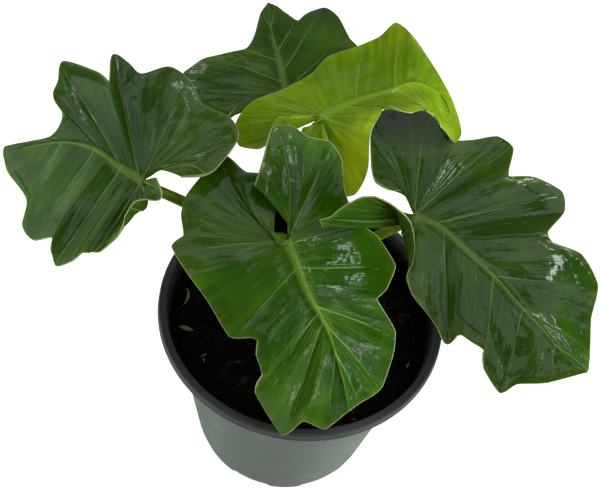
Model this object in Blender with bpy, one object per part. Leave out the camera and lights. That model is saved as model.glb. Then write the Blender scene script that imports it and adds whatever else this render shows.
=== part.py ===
"""Potted atom philodendron: a nursery pot of soil, a short stem with five leaf stalks, five lobed leaves.

The origin is the middle of the pot's underside, +Z is up and the viewer's side is -Y.
Every size below is in millimetres and is turned into metres where a mesh is made.
"""

import math

import bmesh
import bpy
from mathutils import Matrix, Vector, noise

MM = 0.001

# Pot: a thin formed nursery pot with a turned-down lip, a straight neck and a stacking shoulder
POT_HEIGHT = 142.5
LIP_RADIUS = 82.5
LIP_WIDTH = 5.2
LIP_DROP = 6.0
LIP_ROUND = 0.9
MID_ARC = 0.3
WALL = 1.3
NECK_BOTTOM = 124.5
SHOULDER_DROP = 2.5
SHOULDER_STEP = 4.0
SHOULDER_SLANT = 0.4
BASE_RADIUS = 61.4
BASE_BEVEL = 0.8
FLOOR = 1.8
ARCH_HEIGHT = 3.6
ARCH_SHARE = 0.9
HUB_RADIUS = 34.0
STEP_SLANT = 1.0
FLOOR_CORNER = 1.5
FOOT_INNER_RADIUS = 53.0
FOOT_COUNT = 8
FIRST_FOOT_ANGLE = -81.0
FOOT_ANGLE = 22.0
DRAIN_RADIUS = 4.0
DRAIN_DISTANCE = 45.0
ROUND_STEPS = 64

# Soil
SOIL_LEVEL = 120.5
SOIL_GAP = 0.3
SOIL_RINGS = 7
SOIL_ROUGHNESS = 1.6
SOIL_LUMP = 31.0
SOIL_CRUMB = 9.0
CRUMB_SHARE = 0.8
SOIL_EDGE = 1.0

# Stem and leaf stalks
STEM_RADIUS = 7.5
STEM_DEPTH = 45.0
STEM_TOP = 147.0
STEM_TAPER = 0.86
STEM_SIDES = 16
STALK_FOOT_RADIUS = 3.9
STALK_END_RADIUS = 2.6
STALK_LEAD = 0.22
STALK_STEPS = 14

# Leaf blades
BLADE_THICKNESS = 0.9
RIB_DEPTH = 2.2
SIDE_RIB_DEPTH = 0.7
RIB_TAPER = 0.7
RIB_HALF_WIDTH = 2.4
RIB_FOOT_WIDTH = 5.2
FULL_SWELL_LENGTH = 30.0
SWELL_LEAN = 0.8
FAN_ROOT = 0.85
OUTER_COLUMNS = (0.34, 0.68, 1.0)
GRID_STEPS = 2
SEAM_MERGE = 0.02

# Colours, as linear RGB
POT_GREEN = (0.150, 0.190, 0.155)
SOIL_BROWN = (0.012, 0.009, 0.007)
STALK_GREEN = (0.145, 0.215, 0.035)
LEAF_GREEN = (0.030, 0.095, 0.012)
YOUNG_GREEN = (0.260, 0.420, 0.012)


class Leaf:
    """One leaf blade, in its own frame: a runs to the tip, b to the left of that, h up from the face.

    Each station is a row of the blade: how far along the midrib its two rays leave, then where the
    right-hand one (b below 0) and the left-hand one (b above 0) reach the margin.  A bend bows a
    station's ray away from the straight line at its middle, which rolls a lobe or rounds the notch.
    """

    def __init__(self, name, foot, heading, slope, roll, midrib, stations, bends, veins, quilt):
        self.name = name
        self.foot = Vector(foot)
        self.midrib = [Vector(point) for point in midrib]
        self.roots = [row[0] for row in stations]
        self.margins = [[Vector(row[side]) for row in stations] for side in (1, 2)]
        self.bends = [[Vector(bends.get((row, side), (0, 0, 0))) for row in range(len(stations))]
                      for side in (0, 1)]
        self.veins = veins
        self.quilt = quilt
        self.axes = leaf_axes(heading, slope, roll)

    def to_world(self, point):
        along, across, up = self.axes
        return self.foot + along * point.x + across * point.y + up * point.z


def leaf_axes(heading, slope, roll):
    """The blade's three axes, from its compass heading, its fall to the tip and its roll, in degrees."""
    turn, fall, lean = (math.radians(angle) for angle in (heading, slope, roll))
    along = Vector((math.cos(turn) * math.cos(fall), math.sin(turn) * math.cos(fall), -math.sin(fall)))
    level = Vector((-math.sin(turn), math.cos(turn), 0.0))
    across = level * math.cos(lean) + along.cross(level) * math.sin(lean)
    return along, across, along.cross(across)


FRONT_LEAF = Leaf(
    "leaf_front",
    foot=(-13, -20, 227.5), heading=-47, slope=47, roll=8,
    midrib=((0, 0, 0), (26, 0, 1), (41, 2, 2), (54, 3, 2), (78, 2, 1), (97, 0, -1)),
    stations=(
        (0.00, (-29, -2, -9), (-31, -5, 2)),
        (0.00, (-40, -4, -16), (-41, 2, 2)),
        (0.00, (-44, -7, -22), (-52, 12, 0)),
        (0.00, (-40, -19, -22), (-50, 21, -1)),
        (0.00, (-34, -31, -20), (-42, 27, 0)),
        (0.00, (-29, -37, -16), (-35, 38, -3)),
        (0.00, (-21, -42, -9), (-25, 42, -5)),
        (0.00, (-18, -50, -10), (-10, 38, -5)),
        (0.02, (0, -45, -4), (9, 41, -9)),
        (0.06, (12, -45, -4), (22, 50, -12)),
        (0.11, (32, -42, -3), (38, 52, -9)),
        (0.17, (36, -33, 0), (46, 43, -4)),
        (0.22, (39, -31, 1), (46, 33, 1)),
        (0.26, (46, -34, 0), (60, 36, -2)),
        (0.31, (56, -35, 1), (72, 40, -5)),
        (0.37, (63, -39, -1), (83, 32, -4)),
        (0.45, (90, -36, -4), (96, 23, -5)),
        (0.55, (90, -24, -1), (97, 16, -3)),
        (0.67, (102, -14, -4), (97, 9, -2)),
        (FAN_ROOT, (97, 0, -1), (97, 0, -1)),
    ),
    bends={(0, 0): (3, -2, 1), (0, 1): (1, 5, 0), (1, 1): (2, 4, 0)},
    veins=((2, 7, 10, 15, 16, 18), (2, 5, 8, 10, 14, 16, 18)),
    quilt=2.4)

RIGHT_LEAF = Leaf(
    "leaf_right",
    foot=(48, 15, 218.5), heading=-34, slope=10, roll=12,
    midrib=((0, 0, 0), (13, 4, 2), (31, 3, 4), (50, 2, 5), (66, 0, 5), (85, -1, 3), (101, -2, 0),
            (113, 1, -3)),
    stations=(
        (0.00, (-25, -46, 22), (-14, 5, 2)),
        (0.00, (-28, -45, 25), (-20, 1, 1)),
        (0.00, (-25, -41, 29), (-28, 1, -1)),
        (0.00, (-22, -35, 32), (-36, 7, -2)),
        (0.00, (-19, -28, 34), (-47, 19, -2)),
        (0.00, (-15, -22, 33), (-54, 34, -5)),
        (0.00, (-9, -15, 28), (-51, 48, -6)),
        (0.00, (-2, -12, 21), (-41, 57, -6)),
        (0.00, (3, -11, 16), (-25, 55, -3)),
        (0.00, (8, -13, 12), (-14, 49, 0)),
        (0.00, (13, -17, 8), (-6, 58, -3)),
        (0.00, (17, -22, 4), (2, 71, -6)),
        (0.01, (20, -27, 0), (11, 69, -4)),
        (0.03, (27, -31, -2), (20, 53, 2)),
        (0.07, (37, -32, -4), (31, 64, -2)),
        (0.12, (47, -34, -5), (46, 69, -6)),
        (0.17, (55, -36, -8), (53, 61, -5)),
        (0.22, (55, -32, -2), (54, 43, 2)),
        (0.27, (57, -30, 0), (60, 41, 1)),
        (0.34, (63, -29, 0), (75, 46, -3)),
        (0.42, (70, -28, 0), (91, 42, -7)),
        (0.50, (76, -34, -3), (99, 26, -5)),
        (0.60, (89, -36, -7), (107, 13, -4)),
        (0.70, (92, -28, -4), (111, 8, -4)),
        (0.78, (102, -17, -4), (113, 4, -4)),
        (FAN_ROOT, (113, 1, -3), (113, 1, -3)),
    ),
    bends={(0, 0): (2, -5, 2), (1, 0): (1, -3, 2), (5, 0): (0, -1, -1), (6, 0): (0, -3, -1),
           (7, 0): (-1, -6, -1), (8, 0): (1, -8, -2), (9, 0): (2, -9, -2), (10, 0): (4, -10, -2),
           (11, 0): (6, -9, -2), (12, 0): (3, -4, -1), (0, 1): (1, 2, -1)},
    veins=((1, 4, 8, 12, 16, 20, 22, 24), (1, 4, 7, 11, 15, 20, 22, 24)),
    quilt=2.2)

LEFT_LEAF = Leaf(
    "leaf_left",
    foot=(-85, -7, 238.5), heading=167, slope=15, roll=-14,
    midrib=((0, 0, 0), (13, -4, 3), (27, -9, 5), (45, -14, 4), (64, -15, 0), (82, -10, -6), (92, -5, -10)),
    stations=(
        (0.00, (-20, -4, 2), (-10, 0, 6)),
        (0.00, (-30, -7, 2), (-16, 6, 8)),
        (0.00, (-35, -14, 1), (-18, 12, 9)),
        (0.00, (-38, -32, -1), (-14, 14, 11)),
        (0.00, (-30, -42, 0), (-10, 16, 11)),
        (0.00, (-13, -47, 0), (-7, 17, 10)),
        (0.00, (2, -61, -3), (-4, 21, 7)),
        (0.00, (18, -68, -5), (-2, 23, 3)),
        (0.00, (31, -65, -3), (2, 30, -1)),
        (0.00, (44, -71, -5), (10, 37, -6)),
        (0.03, (56, -76, -7), (13, 39, -4)),
        (0.06, (43, -52, 2), (18, 40, -4)),
        (0.10, (57, -58, -1), (24, 44, -8)),
        (0.15, (84, -67, -8), (32, 47, -10)),
        (0.20, (81, -54, -6), (35, 43, -8)),
        (0.27, (77, -44, -5), (36, 36, -3)),
        (0.35, (62, -30, 0), (51, 37, -9)),
        (0.45, (64, -18, -2), (60, 30, -10)),
        (0.55, (81, -15, -7), (64, 16, -7)),
        (0.68, (95, -12, -11), (84, 4, -11)),
        (FAN_ROOT, (92, -5, -10), (92, -5, -10)),
    ),
    bends={(0, 0): (3, -5, 3), (1, 0): (2, -3, 0), (2, 1): (-2, 1, 0), (3, 1): (-3, 1, -3),
           (4, 1): (-4, 4, -3), (5, 1): (-5, 5, -3), (6, 1): (-4, 5, -2), (7, 1): (-2, 6, -2),
           (8, 1): (-1, 3, -1)},
    veins=((1, 3, 6, 10, 13, 15, 18), (1, 5, 9, 13, 16, 18)),
    quilt=2.2)

BACK_LEAF = Leaf(
    "leaf_back",
    foot=(-27, 68, 238.5), heading=105, slope=6, roll=0,
    midrib=((0, 0, 0), (26, 1, 2), (55, 2, 2), (90, 0, -1)),
    stations=(
        (0.00, (-4, -9, -2), (-4, 18, -4)),
        (0.00, (-2, -21, -5), (-5, 25, -6)),
        (0.00, (11, -34, -8), (-9, 32, -9)),
        (0.00, (28, -44, -8), (-3, 43, -10)),
        (0.00, (40, -49, -6), (12, 53, -10)),
        (0.00, (47, -47, -4), (29, 55, -9)),
        (0.05, (53, -43, -2), (36, 47, -6)),
        (0.12, (74, -40, -3), (39, 40, -4)),
        (0.22, (88, -36, -5), (40, 30, -2)),
        (0.32, (89, -29, -5), (39, 22, 0)),
        (0.42, (69, -16, 0), (41, 17, 1)),
        (0.55, (77, -10, 0), (54, 12, 0)),
        (0.70, (85, -5, 0), (78, 6, -1)),
        (FAN_ROOT, (90, 0, -1), (90, 0, -1)),
    ),
    bends={},
    veins=((3, 6, 8, 10, 12), (2, 4, 7, 9, 12)),
    quilt=2.2)

YOUNG_LEAF = Leaf(
    "leaf_young",
    foot=(-7, 37.5, 254.5), heading=35, slope=-5, roll=6,
    midrib=((0, 0, 0), (15, 1, 1), (37, 0, 1), (56, 1, -3), (70, -7, -14), (70, -28, -24)),
    stations=(
        (0.00, (-10, 0, -3), (-17, 3, 2)),
        (0.00, (-13, -4, -7), (-20, 6, 4)),
        (0.00, (-10, -13, -14), (-24, 6, 0)),
        (0.00, (-5, -23, -21), (-28, 3, -8)),
        (0.00, (0, -31, -28), (-34, 4, -12)),
        (0.00, (5, -33, -27), (-40, 9, -12)),
        (0.00, (10, -31, -22), (-39, 17, -10)),
        (0.00, (14, -27, -14), (-34, 21, -5)),
        (0.00, (19, -17, -4), (-25, 22, 1)),
        (0.03, (27, -11, 0), (-11, 21, 3)),
        (0.08, (32, -8, 1), (7, 25, 2)),
        (0.15, (38, -11, 0), (20, 31, 3)),
        (0.25, (46, -14, -3), (39, 33, 0)),
        (0.35, (53, -15, -4), (54, 36, -2)),
        (0.45, (58, -17, -9), (70, 41, -5)),
        (0.55, (61, -23, -14), (75, 29, -7)),
        (0.65, (64, -26, -18), (78, 8, -14)),
        (0.75, (67, -29, -22), (77, -8, -20)),
        (0.80, (68, -29, -23), (75, -22, -25)),
        (FAN_ROOT, (70, -28, -24), (70, -28, -24)),
    ),
    bends={(0, 0): (0, -2, 0), (0, 1): (1, 1, 0)},
    veins=((1, 4, 8, 11, 14, 17), (1, 5, 8, 12, 14, 17)),
    quilt=1.8)

LEAVES = (FRONT_LEAF, RIGHT_LEAF, LEFT_LEAF, BACK_LEAF, YOUNG_LEAF)

# Stalks: where each leaves the stem, the point that bows it, and how its end lies under the blade.
# The end is given in the blade's own frame: the way it points, and how far below the rib it stops.
STALKS = (
    (FRONT_LEAF, (-1.5, -3.5, 138), (-10, -8, 196), (0.15, 0, 1), 0.35),
    (RIGHT_LEAF, (4, 1, 138), (9, 10, 182), (0.40, 0.56, 0.72), 0.35),
    (LEFT_LEAF, (-4, 0.5, 138), (-22, 4, 196), (0.50, 0.20, 0.84), 0.35),
    (BACK_LEAF, (-1, 4, 138), (-14, 22, 214), (0.80, 0, 0.60), 0.35),
    (YOUNG_LEAF, (1.5, 3, 138), (-3, 20, 210), (0.20, 0, 1), 0.90),
)


def clear_scene():
    for item in list(bpy.data.objects):
        bpy.data.objects.remove(item, do_unlink=True)


def make_material(name, colour, roughness):
    material = bpy.data.materials.new(name)
    material.use_nodes = True
    shader = material.node_tree.nodes["Principled BSDF"]
    shader.inputs["Base Color"].default_value = (*colour, 1.0)
    shader.inputs["Roughness"].default_value = roughness
    shader.inputs["Metallic"].default_value = 0.0
    material.diffuse_color = (*colour, 1.0)
    return material


def make_object(name, mesh, material):
    item = bpy.data.objects.new(name, mesh)
    bpy.context.scene.collection.objects.link(item)
    mesh.materials.append(material)
    return item


def mesh_from(builder, name):
    """Turn a bmesh in millimetres into a mesh in metres."""
    bmesh.ops.scale(builder, vec=(MM, MM, MM), verts=builder.verts)
    mesh = bpy.data.meshes.new(name)
    builder.to_mesh(mesh)
    builder.free()
    return mesh


def turned(profile):
    """Spin a closed profile of (radius, height) points round the Z axis."""
    builder = bmesh.new()
    points = [builder.verts.new((radius, 0.0, height)) for radius, height in profile]
    edges = [builder.edges.new((start, end)) for start, end in zip(points, points[1:])]
    if profile[0][0] > 0 or profile[-1][0] > 0:
        edges.append(builder.edges.new((points[-1], points[0])))
    bmesh.ops.spin(builder, geom=points + edges, cent=(0, 0, 0), axis=(0, 0, 1),
                   angle=math.tau, steps=ROUND_STEPS, use_merge=True)
    bmesh.ops.remove_doubles(builder, verts=builder.verts, dist=SEAM_MERGE / 2)
    bmesh.ops.recalc_face_normals(builder, faces=builder.faces)
    return builder


def wall_radius(height):
    """Outer radius of the tapered body under the shoulder."""
    body_top = NECK_BOTTOM - SHOULDER_DROP
    top_radius = LIP_RADIUS - LIP_WIDTH + WALL - SHOULDER_STEP
    return BASE_RADIUS + (top_radius - BASE_RADIUS) * height / body_top


def foot_share(angle):
    """1 on a foot of the base and 0 on the arches between the feet."""
    pitch = 360.0 / FOOT_COUNT
    offset = (math.degrees(angle) - FIRST_FOOT_ANGLE + pitch / 2) % pitch - pitch / 2
    return 1.0 if abs(offset) <= FOOT_ANGLE / 2 else 0.0


def pot_profile():
    """The pot's section: up the inside, over the lip, and down the outside to the base."""
    neck_inner = LIP_RADIUS - LIP_WIDTH
    neck_outer = neck_inner + WALL
    body_top = NECK_BOTTOM - SHOULDER_DROP
    floor_top = ARCH_HEIGHT + FLOOR
    lip_inner = LIP_RADIUS - WALL
    bevel_top = ARCH_HEIGHT + BASE_BEVEL
    return [
        (0.0, FLOOR),
        (HUB_RADIUS - STEP_SLANT, FLOOR),
        (HUB_RADIUS + FLOOR_CORNER, floor_top),
        (wall_radius(floor_top) - WALL, floor_top),
        (wall_radius(body_top) - WALL, body_top + SHOULDER_SLANT),
        (neck_inner, NECK_BOTTOM + 2 * SHOULDER_SLANT),
        (neck_inner, POT_HEIGHT - LIP_ROUND),
        (neck_inner + LIP_ROUND * MID_ARC, POT_HEIGHT - LIP_ROUND * MID_ARC),
        (neck_inner + LIP_ROUND, POT_HEIGHT),
        (LIP_RADIUS - LIP_ROUND, POT_HEIGHT),
        (LIP_RADIUS - LIP_ROUND * MID_ARC, POT_HEIGHT - LIP_ROUND * MID_ARC),
        (LIP_RADIUS, POT_HEIGHT - LIP_ROUND),
        (LIP_RADIUS, POT_HEIGHT - LIP_DROP),
        (lip_inner, POT_HEIGHT - LIP_DROP),
        (lip_inner, POT_HEIGHT - WALL),
        (neck_outer, POT_HEIGHT - WALL),
        (neck_outer, NECK_BOTTOM),
        (wall_radius(body_top), body_top),
        (wall_radius(bevel_top), bevel_top),
        (BASE_RADIUS - BASE_BEVEL, 0.0),
        (FOOT_INNER_RADIUS, 0.0),
        (FOOT_INNER_RADIUS - STEP_SLANT, ARCH_HEIGHT),
        (HUB_RADIUS + STEP_SLANT, ARCH_HEIGHT),
        (HUB_RADIUS, 0.0),
        (0.0, 0.0),
    ]


def drain_cutters():
    """Upright pegs through the raised part of the floor, one in the middle of each arch."""
    for number in range(FOOT_COUNT):
        angle = math.radians(FIRST_FOOT_ANGLE + (number + 0.5) * 360.0 / FOOT_COUNT)
        builder = bmesh.new()
        place = Matrix.Translation((DRAIN_DISTANCE * math.cos(angle), DRAIN_DISTANCE * math.sin(angle),
                                    ARCH_HEIGHT + FLOOR / 2))
        bmesh.ops.create_cone(builder, cap_ends=True, segments=12, radius1=DRAIN_RADIUS,
                              radius2=DRAIN_RADIUS, depth=FLOOR * 3, matrix=place)
        yield mesh_from(builder, f"drain_{number}")


def combined(item, operands, operation):
    """Join operand meshes to an object, or cut them from it, and return the plain mesh that results."""
    group = bpy.data.collections.new(f"{item.name}_operands")
    bpy.context.scene.collection.children.link(group)
    for mesh in operands:
        group.objects.link(bpy.data.objects.new(mesh.name, mesh))
    modifier = item.modifiers.new(operation.title(), "BOOLEAN")
    modifier.operand_type = "COLLECTION"
    modifier.collection = group
    modifier.operation = operation
    modifier.solver = "EXACT"
    graph = bpy.context.evaluated_depsgraph_get()
    mesh = bpy.data.meshes.new_from_object(item.evaluated_get(graph), depsgraph=graph)
    item.modifiers.clear()
    for operand in list(group.objects):
        bpy.data.objects.remove(operand, do_unlink=True)
    bpy.data.collections.remove(group)
    return mesh


def make_pot():
    builder = turned(pot_profile())
    for vertex in builder.verts:
        radius = math.hypot(vertex.co.x, vertex.co.y)
        if vertex.co.z < FLOOR / 2 and radius > FOOT_INNER_RADIUS - STEP_SLANT / 2:
            raised = 1.0 - foot_share(math.atan2(vertex.co.y, vertex.co.x))
            vertex.co.z = ARCH_HEIGHT * ARCH_SHARE * raised
    pot = make_object("pot", mesh_from(builder, "pot"), make_material("pot_plastic", POT_GREEN, 0.45))
    pot.data = combined(pot, drain_cutters(), "DIFFERENCE")
    pot.data.shade_smooth()
    pot.data.set_sharp_from_angle(angle=math.radians(35))


def soil_height(x, y):
    """The crumbly top of the soil: two scales of lumps."""
    broad = noise.noise(Vector((x / SOIL_LUMP, y / SOIL_LUMP, 3.0)))
    fine = noise.noise(Vector((x / SOIL_CRUMB, y / SOIL_CRUMB, 7.0)))
    return SOIL_LEVEL + SOIL_ROUGHNESS * (broad + CRUMB_SHARE * fine)


def make_soil():
    """Soil fills the pot's inside, with a plain round hole for the stem."""
    hole = STEM_RADIUS + SOIL_GAP
    hole_floor = SOIL_LEVEL - STEM_DEPTH - SOIL_GAP
    floor_top = ARCH_HEIGHT + FLOOR + SOIL_GAP
    top_radius = wall_radius(SOIL_LEVEL) - WALL - SOIL_GAP
    profile = [(0.0, hole_floor), (hole, hole_floor), (hole, SOIL_LEVEL)]
    for ring in range(1, SOIL_RINGS):
        profile.append((hole + (top_radius - hole) * ring / SOIL_RINGS, SOIL_LEVEL))
    profile += [
        (top_radius, SOIL_LEVEL),
        (wall_radius(floor_top) - WALL - SOIL_GAP, floor_top),
        (HUB_RADIUS + FLOOR_CORNER, floor_top),
        (HUB_RADIUS - STEP_SLANT - SOIL_GAP, FLOOR + SOIL_GAP),
        (0.0, FLOOR + SOIL_GAP),
    ]
    builder = turned(profile)
    for vertex in builder.verts:
        radius = math.hypot(vertex.co.x, vertex.co.y)
        on_top = abs(vertex.co.z - SOIL_LEVEL) < SOIL_GAP
        if on_top and hole + SOIL_EDGE < radius < top_radius - SOIL_EDGE:
            vertex.co.z = soil_height(vertex.co.x, vertex.co.y)
    make_object("soil", mesh_from(builder, "soil"), make_material("soil", SOIL_BROWN, 0.95))


def between(values, position):
    """Catmull-Rom reading of a list of numbers or vectors at a fractional index."""
    index = min(int(position), len(values) - 2)
    share = position - index
    before = values[max(index - 1, 0)]
    start = values[index]
    end = values[index + 1]
    after = values[min(index + 2, len(values) - 1)]
    return (start
            + (end - before) * (0.5 * share)
            + (before * 2 - start * 5 + end * 4 - after) * (0.5 * share ** 2)
            + (start * 3 - before - end * 3 + after) * (0.5 * share ** 3))


def straight_between(values, position):
    """Straight-line reading of a list at a fractional index."""
    index = min(int(position), len(values) - 2)
    return values[index] + (values[index + 1] - values[index]) * (position - index)


def vein_gap(veins, row):
    """0 on a side vein, rising to 1 half way to the next one, and 0 before the first and past the last."""
    for near, far in zip(veins, veins[1:]):
        if near <= row <= far:
            return math.sin(math.pi * (row - near) / (far - near))
    return 0.0


def blade_point(leaf, row, side, reach):
    """A point of the blade's face: reach runs from 0 on the midrib to 1 on the margin of that side."""
    root = between(leaf.midrib, straight_between(leaf.roots, row) * (len(leaf.midrib) - 1))
    edge = between(leaf.margins[side], row)
    bow = straight_between(leaf.bends[side], row)
    point = root.lerp(edge, reach) + bow * (4 * reach * (1 - reach))
    swell = leaf.quilt * vein_gap(leaf.veins[side], row) * math.sin(math.pi * reach ** SWELL_LEAN)
    point.z += swell * min(1.0, (edge - root).length / FULL_SWELL_LENGTH)
    return point


def ray_length(leaf, row, side):
    points = [blade_point(leaf, row, side, share / 4) for share in range(5)]
    return sum((end - start).length for start, end in zip(points, points[1:]))


def column_reach(leaf, row, side, column):
    """Where a column of the blade's grid crosses a ray: two lines along the rib, then even steps."""
    length = ray_length(leaf, row, side)
    rib = min(RIB_HALF_WIDTH / length, 0.25)
    foot = min(RIB_FOOT_WIDTH / length, 0.5)
    if column < 3:
        return (0.0, rib, foot)[column]
    return foot + (1.0 - foot) * OUTER_COLUMNS[column - 3]


def rib_share(leaf, row, side, column):
    """How much of the rib's depth the blade's underside has at a point of the grid."""
    along = straight_between(leaf.roots, row)
    if column < 2:
        return 1.0 - RIB_TAPER * along
    nearest = min(abs(row - vein) for vein in leaf.veins[side])
    if nearest < 0.01 and column < 5:
        return SIDE_RIB_DEPTH / RIB_DEPTH
    return 0.0


def make_blade(leaf, material):
    """A grid laid on the blade's face, closed to a thin solid with ribs on its underside."""
    last_row = len(leaf.roots) - 1
    row_count = last_row * GRID_STEPS
    columns = len(OUTER_COLUMNS) + 2
    builder = bmesh.new()
    bmesh.ops.create_grid(builder, x_segments=row_count, y_segments=2 * columns, size=1.0)
    weights = builder.verts.layers.deform.verify()
    for vertex in builder.verts:
        row = round((vertex.co.x + 1) / 2 * row_count) / GRID_STEPS
        column = round(vertex.co.y * columns)
        side = 0 if column < 0 else 1
        reach = column_reach(leaf, row, side, abs(column))
        vertex.co = leaf.to_world(blade_point(leaf, row, side, reach))
        vertex[weights][0] = rib_share(leaf, row, side, abs(column))
    bmesh.ops.remove_doubles(builder, verts=builder.verts, dist=SEAM_MERGE)
    bmesh.ops.triangulate(builder, faces=builder.faces)
    blade = make_object(leaf.name, mesh_from(builder, leaf.name), material)
    blade.vertex_groups.new(name="rib")
    solid = blade.modifiers.new("Solidify", "SOLIDIFY")
    solid.thickness = (BLADE_THICKNESS + RIB_DEPTH) * MM
    solid.offset = -1.0
    solid.vertex_group = "rib"
    solid.thickness_vertex_group = BLADE_THICKNESS / (BLADE_THICKNESS + RIB_DEPTH)
    blade.data.shade_smooth()
    return blade


def stalk_points(leaf, start, bow, direction, gap):
    """A smooth run from the stem to the blade, whose end lies under the rib in the given heading."""
    along, across, up = leaf.axes
    heading = (along * direction[0] + across * direction[1] + up * direction[2]).normalized()
    lean = math.sqrt(max(0.0, 1.0 - heading.dot(up) ** 2))
    end = leaf.foot - up * (BLADE_THICKNESS + RIB_DEPTH + gap + STALK_END_RADIUS * lean)
    start = Vector(start)
    lead = end - heading * ((end - start).length * STALK_LEAD)
    for step in range(STALK_STEPS + 1):
        share = step / STALK_STEPS
        rest = 1.0 - share
        yield (start * rest ** 3 + Vector(bow) * (3 * rest ** 2 * share)
               + lead * (3 * rest * share ** 2) + end * share ** 3)


def stalk_mesh(leaf, points):
    """A tapered round tube with closed ends along the points."""
    curve = bpy.data.curves.new(f"stalk_to_{leaf.name}", "CURVE")
    curve.dimensions = "3D"
    curve.bevel_depth = MM
    curve.bevel_resolution = 1
    curve.use_fill_caps = True
    spline = curve.splines.new("POLY")
    points = list(points)
    spline.points.add(len(points) - 1)
    for number, point in enumerate(points):
        share = number / (len(points) - 1)
        spline.points[number].co = (*(point * MM), 1.0)
        spline.points[number].radius = (STALK_FOOT_RADIUS
                                        + (STALK_END_RADIUS - STALK_FOOT_RADIUS) * share ** 0.5)
    item = bpy.data.objects.new(curve.name, curve)
    bpy.context.scene.collection.objects.link(item)
    graph = bpy.context.evaluated_depsgraph_get()
    mesh = bpy.data.meshes.new_from_object(item.evaluated_get(graph), depsgraph=graph)
    bpy.data.objects.remove(item, do_unlink=True)
    builder = bmesh.new()
    builder.from_mesh(mesh)
    bmesh.ops.remove_doubles(builder, verts=builder.verts, dist=SEAM_MERGE * MM / 2)
    bmesh.ops.recalc_face_normals(builder, faces=builder.faces)
    builder.to_mesh(mesh)
    builder.free()
    return mesh


def make_stems():
    """The short stem in its hole in the soil, with the five stalks grown from its top."""
    builder = bmesh.new()
    bottom = SOIL_LEVEL - STEM_DEPTH
    place = Matrix.Translation((0.0, 0.0, (bottom + STEM_TOP) / 2))
    bmesh.ops.create_cone(builder, cap_ends=True, segments=STEM_SIDES, radius1=STEM_RADIUS,
                          radius2=STEM_RADIUS * STEM_TAPER, depth=STEM_TOP - bottom, matrix=place)
    stems = make_object("stems", mesh_from(builder, "stems"), make_material("stalks", STALK_GREEN, 0.4))
    stalks = [stalk_mesh(leaf, stalk_points(leaf, *run)) for leaf, *run in STALKS]
    stems.data = combined(stems, stalks, "UNION")
    stems.data.shade_smooth()
    stems.data.set_sharp_from_angle(angle=math.radians(50))


def main():
    clear_scene()
    make_pot()
    make_soil()
    make_stems()
    dark = make_material("leaf", LEAF_GREEN, 0.2)
    lime = make_material("young_leaf", YOUNG_GREEN, 0.25)
    for leaf in LEAVES:
        make_blade(leaf, lime if leaf is YOUNG_LEAF else dark)


main()
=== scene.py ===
import math
import random

import bmesh
import bpy
from bpy.props import FloatProperty, FloatVectorProperty, IntProperty, PointerProperty
from bpy.types import Operator, Panel, PropertyGroup
from mathutils import Matrix, Vector, noise


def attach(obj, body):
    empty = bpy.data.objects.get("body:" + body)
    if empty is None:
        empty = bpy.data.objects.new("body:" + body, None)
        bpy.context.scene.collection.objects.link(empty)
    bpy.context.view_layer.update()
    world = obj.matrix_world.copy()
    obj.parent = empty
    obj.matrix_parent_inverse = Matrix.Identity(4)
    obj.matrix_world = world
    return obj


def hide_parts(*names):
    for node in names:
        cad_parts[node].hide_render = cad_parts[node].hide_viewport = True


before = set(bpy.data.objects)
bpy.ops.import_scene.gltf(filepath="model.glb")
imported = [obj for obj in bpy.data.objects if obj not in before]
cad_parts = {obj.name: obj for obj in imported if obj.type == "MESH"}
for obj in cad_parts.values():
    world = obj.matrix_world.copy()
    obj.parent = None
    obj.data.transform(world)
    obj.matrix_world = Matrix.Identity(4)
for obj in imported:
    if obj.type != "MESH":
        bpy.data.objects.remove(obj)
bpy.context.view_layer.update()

bl_info = {
    "name": "Potted Philodendron",
    "version": (1, 0, 0),
    "blender": (4, 5, 0),
    "location": "View3D > Sidebar > Plant",
    "description": "Dresses a young philodendron in its nursery pot: blades, stalks, soil and pot",
    "category": "Add Mesh",
}

MM = 0.001

# Pot, in millimetres.  It follows the part's source, but for what the photograph shows better: a
# slimmer body, a lower lip, higher arches between the feet and a rim a little out of round.
POT_HEIGHT = 142.5
LIP_RADIUS = 82.5
LIP_WIDTH = 5.2
LIP_DROP = 5.4
LIP_CAP = 1.6  # the lip's colour goes this far down inside
WALL = 1.3
SKIN = 0.6 * WALL  # the outside's colour goes this deep
NECK_BOTTOM = 124.5
NECK_TAPER = 1.0
SHOULDER_DROP = 2.5
SHOULDER_STEP = 5.2
BODY_TOP = NECK_BOTTOM - SHOULDER_DROP
BASE_RADIUS = 61.8
FLOOR = 1.8
ARCH_HEIGHT = 5.0  # of the floor's underside, between the hub and the feet
ARCH_CUT = 5.5  # of the arches between the feet
HUB_RADIUS = 34.0
FOOT_INNER_RADIUS = 53.0
DRAIN_RADIUS = 4.0
DRAIN_DISTANCE = 45.0
SQUEEZE_START = 40.0  # the wall goes out of round above this height

# Pot: counts, angles in degrees, and shares
FOOT_COUNT = 8
FIRST_FOOT_ANGLE = -81.0
FOOT_ANGLE = 22.0
FOOT_SLOPE = 1.2
DRAIN_SIDES = 32
ROUNDING_STEPS = 4
FRONT_SQUEEZE = 0.020
SIDE_STRETCH = 0.005

# Soil, in millimetres
SOIL_LEVEL = 120.5
SOIL_GAP = 0.3  # between soil and pot
SOIL_LUMP = 31.0  # width of the broad lumps, then of the finer ones and of the grains
SOIL_CRUMB = 9.0
SOIL_GRAIN = 3.4
GRAIN_HEIGHT = 0.9
SMALLEST_CRUMB = 0.45
CRUMB_RANGE = 2.1
STEM_CLEARANCE = 4.0  # chips and fibres keep this far off the stem, and stay within these radii
CRUMB_EDGE = 69.5
CHIP_EDGE = 66.0
FIBRE_EDGE = 64.0

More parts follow.
